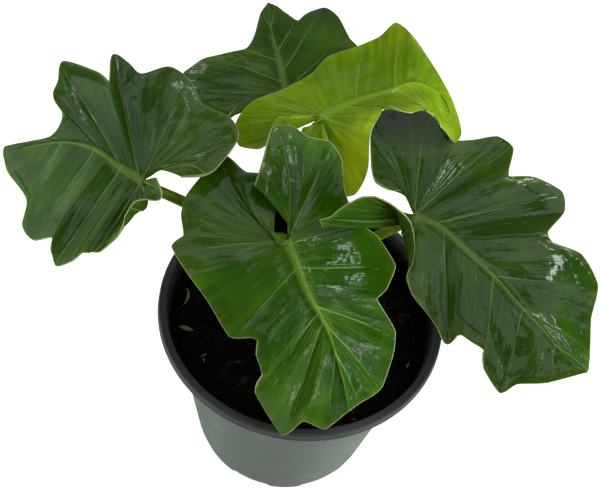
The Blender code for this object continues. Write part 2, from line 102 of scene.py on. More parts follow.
# Stem and stalks, in millimetres
STEM_RADIUS = 7.5
STEM_DEPTH = 45.0
STEM_TOP = 147.0
STALK_FOOT_RADIUS = 3.9
STALK_END_RADIUS = 2.6
STALK_COVER = 0.9  # how far under the blade's face a stalk ends

# Stalks, as shares of their length: the last bit that points as the end does, and the run past the
# end of the curve into the midrib
STALK_LEAD = 0.22
STALK_OVERRUN = 0.04

# Leaf blades, in millimetres
BLADE_THICKNESS = 0.9  # thickness and depth of the midrib as in the source, where the stalks end
RIB_DEPTH = 2.2
RIB_TIP_HALF = 0.35  # half width of the midrib at its tip, and how much wider it is at its foot
RIB_TAPER = 2.7
KNOB_RADIUS = 2.6
VEIN_HALF = 0.62  # half width of a side vein at the midrib, and what it loses up to the margin
VEIN_THINNING = 0.40
MINOR_HALF = 0.26  # a minor vein's line has faded at this distance
FULL_SWELL_LENGTH = 30.0  # rays from this length on have their full relief
PILLOW_HEIGHT = 0.05
PUCKER_HEIGHT = 0.8
RIPPLE_HEIGHT = 0.28
MARGIN_ROLL = 0.9
SHORTEST = 0.01  # anything shorter counts as nothing

# Leaf blades, in shares: where the last rays leave the midrib, how high the blade swells between two
# side veins for a quilt of 1, how near the midrib that swell lies, and the ribs' profile and depth
FAN_ROOT = 0.85
SWELL_SHARE = 0.55
SWELL_LEAN = 0.8
RIB_PROFILE = 1.1
SIDE_RIB_SHARE = 0.22

# Minor veins between two side veins, then in stations: how far side veins sweep back and wander, and
# how far off a ray's neighbours are read.  The last is a step along the midrib's own points.
MINOR_VEINS = 4
VEIN_SWEEP = 0.30
VEIN_WANDER = 0.10
NEIGHBOUR = 0.25
RIB_STEP = 0.1


class Leaf:
    """One leaf blade, in its own frame: a runs to the tip, b to the left of that, h up from the face.

    Each station is a row of the blade: how far along the midrib its two rays leave, then where the
    right-hand one (b below 0) and the left-hand one (b above 0) reach the margin.  A bend bows a
    station's ray away from the straight line at its middle, which rolls a lobe or rounds the notch.
    A lighter or darker patch is partly the blade's own uneven colour and partly painted light and shade,
    such as a painted sheen and a painted glow: its middle (a, b), its radius, and how much lighter it is.
    Crispness runs from 0, a margin smoothed through its stations, to 1, straight from one to the next.
    """

    def __init__(self, name, foot, heading, slope, roll, midrib, stations, bends, veins, quilt,
                 tones_and_painted_light, crispness):
        self.name = name
        self.foot = Vector(foot)
        self.midrib = [Vector(point) for point in midrib]
        self.roots = [row[0] for row in stations]
        self.margins = [[Vector(row[side]) for row in stations] for side in (1, 2)]
        self.bends = [[Vector(bends.get((row, side), (0, 0, 0))) for row in range(len(stations))]
                      for side in (0, 1)]
        self.veins = veins
        self.quilt = quilt
        self.tones_and_painted_light = tones_and_painted_light
        self.crispness = crispness
        self.axes = leaf_axes(heading, slope, roll)

    def to_world(self, point):
        along, across, up = self.axes
        return self.foot + along * point.x + across * point.y + up * point.z

    def tone_and_painted_light_at(self, point):
        """How much lighter or darker than plain the blade is at a point in its own frame, painted light
        and shade included.
        """
        return sum(change * (1.0 - smoothstep(0.2, 1.0, math.hypot(point.x - a, point.y - b) / radius))
                   for a, b, radius, change in self.tones_and_painted_light)


def leaf_axes(heading, slope, roll):
    """The blade's three axes, from its compass heading, its fall to the tip and its roll, in degrees."""
    turn, fall, lean = (math.radians(angle) for angle in (heading, slope, roll))
    along = Vector((math.cos(turn) * math.cos(fall), math.sin(turn) * math.cos(fall), -math.sin(fall)))
    level = Vector((-math.sin(turn), math.cos(turn), 0.0))
    across = level * math.cos(lean) + along.cross(level) * math.sin(lean)
    return along, across, along.cross(across)


FRONT_LEAF = Leaf(
    "leaf_front",
    foot=(-13, -20, 227.5), heading=-47, slope=47, roll=8,
    midrib=((0, 0, 0), (26, 0, 1), (41, 2, 2), (54, 3, 2), (78, 2, 1), (97, 0, -1)),
    stations=(
        (0, (-29, 13, -10), (-31, -6, 2)),
        (0, (-35.5, -3, -14), (-41, 2, 2)),
        (0, (-45, -7.5, -22), (-52, 12, 0)),
        (0, (-42, -20, -22), (-50, 21, -1)),
        (0, (-36, -32.5, -20), (-42, 27, 0)),
        (0, (-29.5, -39, -16), (-35, 38, -3)),
        (0, (-21, -43, -9), (-25, 42, -5)),
        (0, (-18, -50, -10), (-10, 38, -5)),
        (0.02, (-3.5, -48.5, -4), (9, 41, -9)),
        (0.06, (12, -45, -4), (22, 50, -12)),
        (0.11, (32, -42, -3), (39.5, 53.5, -9)),
        (0.17, (36, -33, 0), (46.5, 43, -4)),
        (0.22, (39, -31, 1), (47, 33.5, 1)),
        (0.26, (46, -34, 0), (60, 37, -2)),
        (0.31, (56, -35, 1), (72, 40, -5)),
        (0.37, (64, -41, -1), (83, 34, -4)),
        (0.45, (93, -36, -4), (96.5, 23.5, -5)),
        (0.55, (90, -24, -1), (97, 16, -3)),
        (0.67, (102, -14, -4), (97, 9, -2)),
        (FAN_ROOT, (97, 0, -1), (97, 0, -1)),
    ),
    bends={(0, 0): (2, -8, 1), (1, 0): (0, -8, 0.5), (2, 0): (0, -7, 0), (3, 0): (0, -5, 0),
           (4, 0): (0, -3, 0), (5, 0): (0, -1.5, 0), (0, 1): (0, 4.2, 0), (1, 1): (0, 5.5, 0),
           (2, 1): (0, 4.5, 0), (3, 1): (0, 4, 0), (4, 1): (0, 2, 0)},
    veins=((2, 7, 10, 15, 16, 18), (2, 5, 8, 10, 14, 16, 18)),
    quilt=1.2,
    tones_and_painted_light=((34, 39, 16, -0.5), (-26, 5, 14, -0.4), (29, -37, 14, 0.4), (-4, -46, 14, 0.5),
           (81, -20, 20, 0.2), (74, 20, 30, -0.7), (30, 24, 26, -0.4)),
    crispness=0.5)

RIGHT_LEAF = Leaf(
    "leaf_right",
    foot=(48, 15, 218.5), heading=-34, slope=10, roll=12,
    midrib=((0, 0, 0), (13, 4, 2), (31, 3, 4), (50, 2, 5), (66, 0, 5), (85, -1, 3), (101, -2, 0),
            (113, 1, -3)),
    stations=(
        (0, (-25, -46, 22), (-14, 5, 2)),
        (0, (-28, -45, 25), (-20, 1, 1)),
        (0, (-25, -41, 29), (-28, 1, -1)),
        (0, (-23.5, -33.5, 32), (-36, 7, -2)),
        (0, (-21, -25.5, 34), (-47, 19, -2)),
        (0, (-16, -20, 33), (-54, 34, -5)),
        (0, (-9, -15, 28), (-51, 48, -6)),
        (0, (-2, -12, 21), (-41, 57, -6)),
        (0, (3, -11, 16), (-25, 55, -3)),
        (0, (8, -13, 12), (-14, 49, 0)),
        (0, (13, -17, 8), (-7, 59, -3)),
        (0, (17, -22, 4), (0.5, 72.5, -6)),
        (0.01, (20, -27, 0), (11, 71.5, -4)),
        (0.03, (27, -31, -2), (20, 53, 2)),
        (0.07, (37, -32, -4), (31, 65.5, -2)),
        (0.12, (47, -34, -5), (46, 72, -6)),
        (0.17, (55, -36, -8), (53.5, 63.5, -5)),
        (0.22, (55, -32, -2), (54, 43, 2)),
        (0.27, (57, -30, 0), (60, 41, 1)),
        (0.34, (63, -29, 0), (74.5, 49, -3)),
        (0.42, (70, -28, 0), (91.5, 44.5, -7)),
        (0.50, (76, -34, -3), (99, 26, -5)),
        (0.60, (89, -36, -7), (107, 13, -4)),
        (0.70, (92, -28, -4), (111, 8, -4)),
        (0.78, (102, -17, -4), (113, 4, -4)),
        (FAN_ROOT, (113, 1, -3), (113, 1, -3)),
    ),
    bends={(0, 0): (2, -5, 2), (1, 0): (1, -3, 2), (5, 0): (0, -1, -1), (6, 0): (0, -3, -1),
           (7, 0): (-1, -6, -1), (8, 0): (1, -8, -2), (9, 0): (2, -9, -2), (10, 0): (4, -10, -2),
           (11, 0): (6, -9, -2), (12, 0): (3, -4, -1), (0, 1): (1.5, 2.5, -0.5),
           (1, 1): (0, 5.8, -0.5), (2, 1): (-0.5, 6, 0), (3, 1): (0, 5, 0), (4, 1): (0, 3, 0),
           (5, 1): (0, 1.5, 0)},
    veins=((1, 4, 8, 12, 16, 20, 22, 24), (1, 4, 7, 11, 15, 20, 22, 24)),
    quilt=1.4,
    # The top lobe is painted paler: a painted sheen where the young blade blocks the gloss.
    tones_and_painted_light=((-20, 44, 26, 0.4), (-31, 19, 18, 0.2)),
    crispness=0.4)

LEFT_LEAF = Leaf(
    "leaf_left",
    foot=(-85, -7, 238.5), heading=167, slope=15, roll=-14,
    midrib=((0, 0, 0), (13, -4, 3), (27, -9.5, 4.5), (45, -12.5, 3), (64, -11.5, -1.5), (82, -8.5, -6.5),
            (94, -5.5, -11)),
    stations=(
        (0, (-20, -4.5, 2), (-10, 0, 6)),
        (0, (-30, -7, 2), (-16, 6, 8)),
        (0, (-35, -14, 1), (-18, 11, 9)),
        (0, (-38, -32, -1), (-13.5, 13, 11)),
        (0, (-30, -42, 0), (-9.5, 15, 11)),
        (0, (-13, -47, 0), (-7, 17, 10)),
        (0, (1.5, -62.5, -3), (-4, 21, 7)),
        (0, (17.5, -70.5, -5), (-2, 23, 3)),
        (0, (30.5, -63, -3), (2, 30, -1)),
        (0, (44, -71, -5), (10, 37, -6)),
        (0.03, (56, -76, -7), (13, 39, -4)),
        (0.06, (42, -52.5, 2), (18, 40, -4)),
        (0.10, (56, -59.5, -1), (24, 44, -8)),
        (0.15, (86.5, -68.5, -8), (32, 47, -10)),
        (0.20, (81, -54, -6), (35, 43, -8)),
        (0.27, (78.5, -44.5, -5), (36, 36, -3)),
        (0.35, (62, -30, 0), (51, 37, -9)),
        (0.45, (64, -18, -2), (61, 30.5, -10)),
        (0.55, (81, -15, -7), (64, 17.5, -7)),
        (0.68, (97, -12, -11), (86.5, 3, -11)),
        (FAN_ROOT, (94, -5.5, -11), (94, -5.5, -11)),
    ),
    bends={(0, 0): (0, -5, 1), (1, 0): (0, -7, 0.5), (2, 0): (0, -6, 0), (3, 0): (0, -3, 0),
           (4, 0): (0, -1, 0), (2, 1): (-2, 1, 0), (3, 1): (-3, 1, -3),
           (4, 1): (-4, 4, -3), (5, 1): (-5, 5, -3), (6, 1): (-4, 5, -2), (7, 1): (-2, 6, -2),
           (8, 1): (-1, 3, -1)},
    veins=((1, 3, 6, 10, 13, 15, 18), (1, 5, 9, 13, 16, 18)),
    quilt=1.6,
    tones_and_painted_light=((18, -44, 16, -0.4), (54, -54, 18, 0.1), (12, -26, 26, -0.3), (42, -26, 26, -0.3)),
    crispness=0.15)

BACK_LEAF = Leaf(
    "leaf_back",
    foot=(-27, 68, 238.5), heading=105, slope=6, roll=0,
    midrib=((0, 0, 0), (26, 1, 2), (55, 2, 2), (90, 0, -1)),
    stations=(
        (0, (-4, -9, -2), (-1, 17.5, -4)),
        (0, (-2, -21, -5), (-1.5, 25, -6)),
        (0, (11, -34, -8), (-9, 32, -9)),
        (0, (28, -44, -8), (-3, 43, -10)),
        (0, (40, -49, -6), (12, 53, -10)),
        (0, (48.5, -48.5, -4), (29, 55, -9)),
        (0.05, (54.5, -44.5, -2), (36, 47, -6)),
        (0.12, (76.5, -42, -3), (39, 40, -4)),
        (0.22, (91.5, -36.5, -5), (40, 30, -2)),
        (0.32, (89.5, -28.5, -5), (39, 22, 0)),
        (0.42, (69, -16, 0), (41, 17, 1)),
        (0.55, (77, -10, 0), (54, 12, 0)),
        (0.70, (85, -5, 0), (78, 6, -1)),
        (FAN_ROOT, (90, 0, -1), (90, 0, -1)),
    ),
    bends={},
    veins=((3, 6, 8, 10, 12), (2, 4, 7, 9, 12)),
    quilt=1.8,
    tones_and_painted_light=((74, 0, 22, 0.4), (54, -30, 22, 0.5), (46, 30, 30, 0.5)),
    crispness=0.25)

YOUNG_LEAF = Leaf(
    "leaf_young",
    foot=(-7, 37.5, 254.5), heading=35, slope=-5, roll=6,
    midrib=((0, 0, 0), (15, 1, 1), (37, 0, 1), (56, 1, -3), (70, -7, -14), (70, -28, -24)),
    stations=(
        (0, (-10, 0, -3), (-17, 3, 2)),
        (0, (-13, -4, -7), (-20, 6, 4)),
        (0, (-10, -13, -14), (-24, 6, 0)),
        (0, (-5, -23, -21), (-28, 3, -8)),
        (0, (0, -31, -28), (-34, 4, -12)),
        (0, (5, -33, -27), (-40, 9, -12)),
        (0, (10, -31, -22), (-39, 17, -10)),
        (0, (14, -27, -14), (-34, 21, -5)),
        (0, (19, -17, -4), (-25, 22, 1)),
        (0.03, (27, -11, 0), (-11, 21, 3)),
        (0.08, (32, -8, 1), (7, 25, 2)),
        (0.15, (38, -11, 0), (20, 31, 3)),
        (0.25, (46, -14, -3), (39, 33, 0)),
        (0.35, (53, -15, -4), (54, 36, -2)),
        (0.45, (58, -17, -9), (70, 43.5, -5)),
        (0.55, (61, -23, -14), (75, 29, -7)),
        (0.65, (64, -26, -18), (78, 8, -14)),
        (0.75, (67, -29, -22), (78.5, -8, -20)),
        (0.80, (68, -29, -23), (76, -22.5, -25)),
        (FAN_ROOT, (70, -28, -24), (70, -28, -24)),
    ),
    bends={(0, 0): (0, -2, 0), (0, 1): (1, 1, 0)},
    veins=((1, 4, 8, 11, 14, 17), (1, 5, 8, 12, 14, 17)),
    quilt=1.6,
    # The low lobe is painted much lighter: a painted glow of light through the thin blade.
    tones_and_painted_light=((27, 8, 22, -0.5), (14, -22, 22, 1.0), (-23, 10, 20, 0.3), (61, 30, 20, 0.1),
           (76, 0, 36, -0.4)),
    crispness=0.25)

# Stalks: the leaf, where the stalk leaves the stem, the point that bows it, the way its end points in
# the blade's own frame, and how far below the midrib it stops.
STALKS = (
    (FRONT_LEAF, (-1.5, -3.5, 138), (-10, -8, 196), (0.15, 0, 1), 0.35),
    (RIGHT_LEAF, (4, 1, 138), (9, 10, 182), (0.40, 0.56, 0.72), 0.35),
    (LEFT_LEAF, (-4, 0.5, 138), (-22, 4, 196), (0.50, 0.20, 0.84), 0.35),
    (BACK_LEAF, (-1, 4, 138), (-14, 22, 214), (0.80, 0, 0.60), 0.35),
    (YOUNG_LEAF, (1.5, 3, 138), (-3, 20, 210), (0.20, 0, 1), 0.90),
)


def colour_property(name, description, default):
    """A colour in the sidebar."""
    return FloatVectorProperty(name=name, description=description, default=default, subtype="COLOR",
                               size=3, min=0.0, max=1.0)


def length_property(name, description, default, low=0.0):
    """A length in metres in the sidebar."""
    return FloatProperty(name=name, description=description, default=default, min=low, unit="LENGTH",
                         precision=5)


def count_property(name, description, default, low=0):
    """A whole number in the sidebar."""
    return IntProperty(name=name, description=description, default=default, min=low)


class BladeSettings(PropertyGroup):
    """Sizes and colours of the leaf blades."""

    rows: count_property("Rows", "Rows of faces in each station of a blade", 13, 2)
    columns: count_property("Columns", "Faces from the midrib to the margin", 66, 8)
    thickness: length_property("Thickness", "Thickness of the blade between its ribs", 0.0006, 0.0002)
    rib_depth: length_property("Rib depth", "How far the midrib stands under the blade", 0.0022)
    ridge: length_property("Ridge", "How far the midrib stands above the blade", 0.00055)
    knob: length_property("Knob", "How far the blade is raised over the stalk's end", 0.0009)
    groove: length_property("Groove", "Depth of the side veins' grooves", 0.00010)
    dark: colour_property("Dark blade", "Colour of the old blades", (0.014, 0.050, 0.0010))
    dark_pale: colour_property("Dark blade, pale", "Lighter patches of the old blades",
                               (0.040, 0.098, 0.0024))
    dark_vein: colour_property("Dark blade, veins", "Colour of the old blades' veins",
                               (0.120, 0.190, 0.040))
    dark_rib: colour_property("Dark blade, midrib", "Colour of the old blades' midribs",
                              (0.088, 0.152, 0.014))
    young: colour_property("Young blade", "Colour of the newest blade", (0.090, 0.184, 0.003))
    young_pale: colour_property("Young blade, pale", "Lighter patches of the newest blade",
                                (0.184, 0.262, 0.005))
    young_vein: colour_property("Young blade, veins", "Colour of the newest blade's veins",
                                (0.212, 0.304, 0.036))
    young_rib: colour_property("Young blade, midrib", "Colour of the newest blade's midrib",
                               (0.156, 0.268, 0.018))
    margin: colour_property("Margin", "Colour of the thin line round a blade", (0.24, 0.30, 0.13))


class StalkSettings(PropertyGroup):
    """Sizes and colours of the stem and the leaf stalks."""

    sides: count_property("Sides", "Faces round a stalk", 28, 8)
    steps: count_property("Steps", "Faces along a stalk", 70, 12)
    colour: colour_property("Stalk", "Colour of the stalks", (0.040, 0.084, 0.002))
    pale: colour_property("Stalk, pale", "Lighter streaks of the stalks", (0.125, 0.170, 0.012))
    sheath: colour_property("Sheath", "Colour of the dry sheaths at the stem", (0.16, 0.10, 0.045))


class PotSettings(PropertyGroup):
    """Sizes and colours of the pot."""

    steps: count_property("Steps", "Faces round the pot", 256, 64)
    bead: length_property("Bead", "Radius of the bead along the lip's lower edge", 0.0005)
    green: colour_property("Body", "Colour of the pot's outside", (0.078, 0.104, 0.081))
    grey: colour_property("Lip", "Colour of the lip", (0.038, 0.039, 0.040))
    # The neck's paler band is painted light: the neck under the lip made paler where it catches the light.
    neck_painted_light: colour_property("Bloom", "Paler colour of the worn neck", (0.20, 0.22, 0.20))
    dust: colour_property("Dust", "Colour of the dust on the outside", (0.30, 0.30, 0.28))
    # The inside is made far darker than the lip's plastic: painted shade down in the pot.
    black: colour_property("Inside", "Colour of the inside", (0.0015, 0.0015, 0.0020))
    soil_dust: colour_property("Soil dust", "Soil that clings to the inside", (0.006, 0.004, 0.003))


class SoilSettings(PropertyGroup):
    """Roughness, crumbs and colours of the soil."""

    cells: count_property("Cells", "Faces across the soil's top", 170, 20)
    roughness: length_property("Roughness", "Height of the soil's lumps", 0.0016)
    crumbs: count_property("Crumbs", "Loose crumbs on the soil", 1500)
    fibres: count_property("Fibres", "Fine fibres on the soil", 150)
    chips: count_property("Chips", "Bark chips on the soil", 70)
    seed: count_property("Seed", "Seed of the random draws", 7)
    earth: colour_property("Earth", "Colour of the potting mix", (0.0024, 0.0018, 0.0019))
    bark: colour_property("Bark", "Colour of the bark and fibres", (0.040, 0.022, 0.014))
    straw: colour_property("Straw", "Colour of the few pale chips", (0.34, 0.27, 0.17))


class StageSettings(PropertyGroup):
    """Camera, floor and lights."""

    lens: FloatProperty(name="Lens", description="Focal length on a 36 mm sensor, in millimetres",
                        default=45.0)
    camera_place: FloatVectorProperty(name="Camera", description="Place of the camera", size=3,
                                      subtype="XYZ", unit="LENGTH", default=(-0.0069, -0.2276, 0.5134))
    look_down: FloatProperty(name="Look down", description="How far the camera looks down",
                             default=math.radians(54.173), subtype="ANGLE")
    tilt: FloatProperty(name="Tilt", description="Turn of the camera about its own view",
                        default=math.radians(9.378), subtype="ANGLE")
    glow: FloatProperty(name="Glow", description="Brightness of the surroundings", default=0.10, min=0.0)
    floor: colour_property("Floor", "Colour of the floor", (0.60, 0.60, 0.60))
    floor_glow: FloatProperty(name="Floor glow", description="Light given off by the lit floor",
                              default=0.72, min=0.0)


# Helpers for meshes

def link_object(name, data):
    """A new object in the scene, for a mesh, a light or a camera."""
    item = bpy.data.objects.new(name, data)
    bpy.context.scene.collection.objects.link(item)
    return item


def mesh_from(builder, name):
    """Turn a bmesh in millimetres into a mesh in metres."""
    bmesh.ops.scale(builder, vec=(MM, MM, MM), verts=builder.verts)
    mesh = bpy.data.meshes.new(name)
    builder.to_mesh(mesh)
    builder.free()
    return mesh


def add_piece(name, builder, materials, node):
    """Put a shape in millimetres in the scene: it rides on the plant and may take a CAD node's place."""
    piece = link_object(name, mesh_from(builder, name))
    for material in materials:
        piece.data.materials.append(material)
    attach(piece, "root")
    if node:
        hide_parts(node)
    return piece


def close_ends(builder):
    """Fill every open end, and turn all faces outwards."""
    bmesh.ops.holes_fill(builder, edges=[edge for edge in builder.edges if edge.is_boundary])
    bmesh.ops.recalc_face_normals(builder, faces=builder.faces)


def shade_smooth(piece, sharp_angle):
    """Smooth shading, but for edges sharper than an angle in degrees."""
    piece.data.shade_smooth()
    piece.data.set_sharp_from_angle(angle=math.radians(sharp_angle))


def smoothstep(low, high, value):
    """0 up to low, 1 from high on, and a soft rise in between."""
    share = min(1.0, max(0.0, (value - low) / (high - low)))
    return share * share * (3.0 - 2.0 * share)


def bell(distance, half=1.0):
    """1 in the middle, with a soft fall on both sides."""
    return math.exp(-(distance / half) ** 2)


def between(values, position):
    """Catmull-Rom reading of a list of numbers or vectors at a fractional index."""
    index = min(int(position), len(values) - 2)
    share = position - index
    before = values[max(index - 1, 0)]
    start = values[index]
    end = values[index + 1]
    after = values[min(index + 2, len(values) - 1)]
    return (start
            + (end - before) * (0.5 * share)
            + (before * 2 - start * 5 + end * 4 - after) * (0.5 * share ** 2)
            + (start * 3 - before - end * 3 + after) * (0.5 * share ** 3))


def straight_between(values, position):
    """Straight-line reading of a list at a fractional index."""
    index = min(int(position), len(values) - 2)
    return values[index] + (values[index + 1] - values[index]) * (position - index)


def rounded(corners):
    """An outline with its corners rounded: each corner is (radius, height, size of the rounding)."""
    outline = []
    for number, (radius, height, size) in enumerate(corners):
        corner = Vector((radius, height))
        if size == 0 or number in (0, len(corners) - 1):
            outline.append(corner)
            continue
        before = Vector(corners[number - 1][:2])
        after = Vector(corners[number + 1][:2])
        start = corner + (before - corner).normalized() * size
        end = corner + (after - corner).normalized() * size
        for step in range(ROUNDING_STEPS + 1):
            share = step / ROUNDING_STEPS
            outline.append(start.lerp(corner, share).lerp(corner.lerp(end, share), share))
    return outline


# Helpers for materials

def shader_node(tree, kind, values=None, **settings):
    """A new node with its settings, and with values for its inputs by name or number."""
    node = tree.nodes.new(kind)
    for key, value in settings.items():
        setattr(node, key, value)
    for key, value in (values or {}).items():
        node.inputs[key].default_value = value
    return node


def new_group(name, inputs):
    """A shader node group that takes colours, and its two end nodes.

    Every group gives a colour, a relief and a dullness.
    """
    group = bpy.data.node_groups.new(name, "ShaderNodeTree")
    sockets = [(label, "INPUT", "NodeSocketColor") for label in inputs]
    sockets += [("Colour", "OUTPUT", "NodeSocketColor"), ("Relief", "OUTPUT", "NodeSocketFloat"),
                ("Dullness", "OUTPUT", "NodeSocketFloat")]
    for label, way, kind in sockets:
        group.interface.new_socket(name=label, in_out=way, socket_type=kind)
    return group, group.nodes.new("NodeGroupInput"), group.nodes.new("NodeGroupOutput")


def add_math(tree, operation, first, second=None, clamp=False):
    """A Math node whose inputs are sockets or plain numbers."""
    node = shader_node(tree, "ShaderNodeMath", operation=operation, use_clamp=clamp)
    for number, value in enumerate((first, second)):
        if isinstance(value, bpy.types.NodeSocket):
            tree.links.new(value, node.inputs[number])
        elif value is not None:
            node.inputs[number].default_value = value
    return node.outputs[0]


def add_range(tree, value, low, high, to_low=0.0, to_high=1.0):
    """A smooth Map Range from low..high to to_low..to_high."""
    node = shader_node(tree, "ShaderNodeMapRange", interpolation_type="SMOOTHSTEP",
                       values={"From Min": low, "From Max": high, "To Min": to_low, "To Max": to_high})
    tree.links.new(value, node.inputs["Value"])
    return node.outputs["Result"]


def add_mix(tree, share, first, second, blend="MIX"):
    """A colour Mix node: share and both colours are sockets or plain values."""
    node = shader_node(tree, "ShaderNodeMix", data_type="RGBA", blend_type=blend)
    for number, value in ((0, share), (6, first), (7, second)):
        if isinstance(value, bpy.types.NodeSocket):
            tree.links.new(value, node.inputs[number])
        else:
            node.inputs[number].default_value = value
    return node.outputs[2]


def add_layer(tree, colour, over, mask, strength):
    """A colour with another laid over it, where a mask shows and at a plain strength."""
    return add_mix(tree, add_math(tree, "MULTIPLY", mask, strength), colour, over)


def add_sum(tree, *parts):
    """The sum of sockets, each given with its weight."""
    weighed = [add_math(tree, "MULTIPLY", socket, weight) for socket, weight in parts]
    total = weighed[0]
    for part in weighed[1:]:
        total = add_math(tree, "ADD", total, part)
    return total


def add_noise(tree, vector, scale, detail=2.0, roughness=0.5, stretch=None):
    """A Noise Texture on a vector that may first be stretched along its axes."""
    node = shader_node(tree, "ShaderNodeTexNoise",
                       values={"Scale": scale, "Detail": detail, "Roughness": roughness})
    if stretch:
        mapping = shader_node(tree, "ShaderNodeMapping", values={"Scale": stretch})
        tree.links.new(vector, mapping.inputs["Vector"])
        vector = mapping.outputs["Vector"]
    tree.links.new(vector, node.inputs["Vector"])
    return node.outputs["Fac"]


def add_attribute(tree, name):
    return shader_node(tree, "ShaderNodeAttribute", attribute_name=name).outputs["Fac"]


def add_place(tree):
    return shader_node(tree, "ShaderNodeTexCoord").outputs["Object"]


def add_rays(tree):
    """The UV map whose directions run across and along a blade's rays or a stalk."""
    return shader_node(tree, "ShaderNodeUVMap", uv_map="rays").outputs["UV"]


def new_material(name, **constants):
    """A material with a Principled BSDF whose constant inputs are given by name, with _ for a blank."""
    material = bpy.data.materials.new(name)
    material.use_nodes = True
    shader = material.node_tree.nodes["Principled BSDF"]
    for key, value in constants.items():
        shader.inputs[key.replace("_", " ")].default_value = value
    return material, material.node_tree, shader


def add_bump(tree, shader, height, distance):
    """Relief in a material: a height socket, and its full depth in metres."""
    bump = shader_node(tree, "ShaderNodeBump", values={"Distance": distance})
    tree.links.new(height, bump.inputs["Height"])
    tree.links.new(bump.outputs["Normal"], shader.inputs["Normal"])


def use_group(tree, shader, group, values, depth):
    """Give a material a group's colour, and its relief at a depth in metres."""
    node = shader_node(tree, "ShaderNodeGroup", node_tree=group, values=values)
    tree.links.new(node.outputs["Colour"], shader.inputs["Base Color"])
    add_bump(tree, shader, node.outputs["Relief"], depth)
    return node


def rgba(colour):
    return (*colour, 1.0)


# Materials of the blades

# Lines on a blade: attribute, how far its core reaches, where it has faded, colour and strength
BLADE_LINES = (
    ("minor", 0.02, MINOR_HALF, "Vein", 0.28),
    ("vein", 0.3, 1.2, "Vein", 0.55),
    ("rib", 0.3, 1.2, "Rib", 0.80),
    ("margin", 0.15, 0.45, "Margin", 0.85),
)
BLADE_DULLNESS = (0.06, 0.11)


def blade_marks_group():
    """Colour and relief of a blade: patches, painted light and shade, fine streaks along the rays, veins,
    midrib and margin.
    """
    group = bpy.data.node_groups.get("Blade marks")
    if group:
        return group
    group, start, end = new_group("Blade marks", ("Blade", "Pale", "Vein", "Rib", "Margin"))
    place = add_place(group)
    rays = add_rays(group)
    edge = add_range(group, add_attribute(group, "margin"), 0.5, 6.0, 1.0, 0.0)
    patches = add_range(group, add_noise(group, place, 26.0, 3.0), 0.40, 0.68)
    fine = add_noise(group, rays, 1.0, 4.0, 0.6, stretch=(95.0, 2.2, 1.0))
    streaks = add_noise(group, rays, 1.0, 3.0, 0.55, stretch=(32.0, 1.5, 1.0))
    ragged = add_noise(group, rays, 1.0, 2.0, 0.5, stretch=(22.0, 6.0, 1.0))
    pebbles = add_noise(group, place, 170.0, 1.0, 0.5)
    # Paler where the noise and the margin say so, and lighter or darker where painted light and shade are
    # laid on.
    paleness = add_math(group, "ADD", add_sum(group, (patches, 0.50), (edge, 0.30)),
                        add_attribute(group, "tone_and_painted_light"), clamp=True)
    colour = add_mix(group, paleness, start.outputs["Blade"], start.outputs["Pale"])
    shade = add_range(group, streaks, 0.30, 0.75, 0.80, 1.18)
    colour = add_mix(group, 1.0, colour, shade, "MULTIPLY")
    lines = {}
    for name, core, limit, over, strength in BLADE_LINES:
        lines[name] = add_range(group, add_attribute(group, name), core, limit, 1.0, 0.0)
        colour = add_layer(group, colour, start.outputs[over], lines[name], strength)
    relief = add_sum(group, (fine, 0.12), (streaks, 0.9), (ragged, 0.9), (pebbles, 0.9),
                     (lines["minor"], -0.25))
    group.links.new(colour, end.inputs["Colour"])
    group.links.new(relief, end.inputs["Relief"])
    group.links.new(add_range(group, fine, 0.3, 0.8, *BLADE_DULLNESS), end.inputs["Dullness"])
    return group


def blade_material(name, colours, relief, shine):
    """Waxy, glossy upper face of a blade."""
    material, tree, shader = new_material(name, Specular_IOR_Level=shine)
    marks = use_group(tree, shader, blade_marks_group(), colours, relief)
    tree.links.new(marks.outputs["Dullness"], shader.inputs["Roughness"])
    return material


def underside_material(name, colours):
    """Duller and paler lower face of a blade, whose veins stand out lighter."""
    material, tree, shader = new_material(name, Specular_IOR_Level=0.18)
    pale = [0.8 * one + 0.2 * other for one, other in zip(colours["Pale"], colours["Rib"])]
    marks = use_group(tree, shader, blade_marks_group(), {**colours, "Pale": pale}, 0.00010)
    dull = add_range(tree, marks.outputs["Dullness"], *BLADE_DULLNESS, 0.26, 0.38)
    tree.links.new(dull, shader.inputs["Roughness"])
    return material


def blade_materials(settings, age, relief, shine):
    """The upper and lower face of the blades of one age, which is dark or young."""
    colours = {"Blade": age, "Pale": f"{age}_pale", "Vein": f"{age}_vein", "Rib": f"{age}_rib",
               "Margin": "margin"}
    colours = {label: rgba(getattr(settings, name)) for label, name in colours.items()}
    return [blade_material(f"{age}_blade", colours, relief, shine),
            underside_material(f"{age}_blade_under", colours)]


# Leaf blades

def vein_phase(veins, row):
    """Side veins passed up to a row: a whole number on a vein, and parts between two."""
    count = len(veins)
    index = next((number for number in range(count - 1) if row < veins[number + 1]), count - 2)
    return index + (row - veins[index]) / (veins[index + 1] - veins[index])


def vein_gap(veins, row):
    """0 on a side vein, rising to 1 half way to the next one, and 0 before the first and past the last."""
    for near, far in zip(veins, veins[1:]):
        if near <= row <= far:
            return math.sin(math.pi * (row - near) / (far - near))
    return 0.0


def ray_ends(leaf, row, side):
    """Where a ray leaves the midrib and where it meets the margin."""
    root = between(leaf.midrib, straight_between(leaf.roots, row) * (len(leaf.midrib) - 1))
    edge = between(leaf.margins[side], row).lerp(straight_between(leaf.margins[side], row), leaf.crispness)
    return root, edge


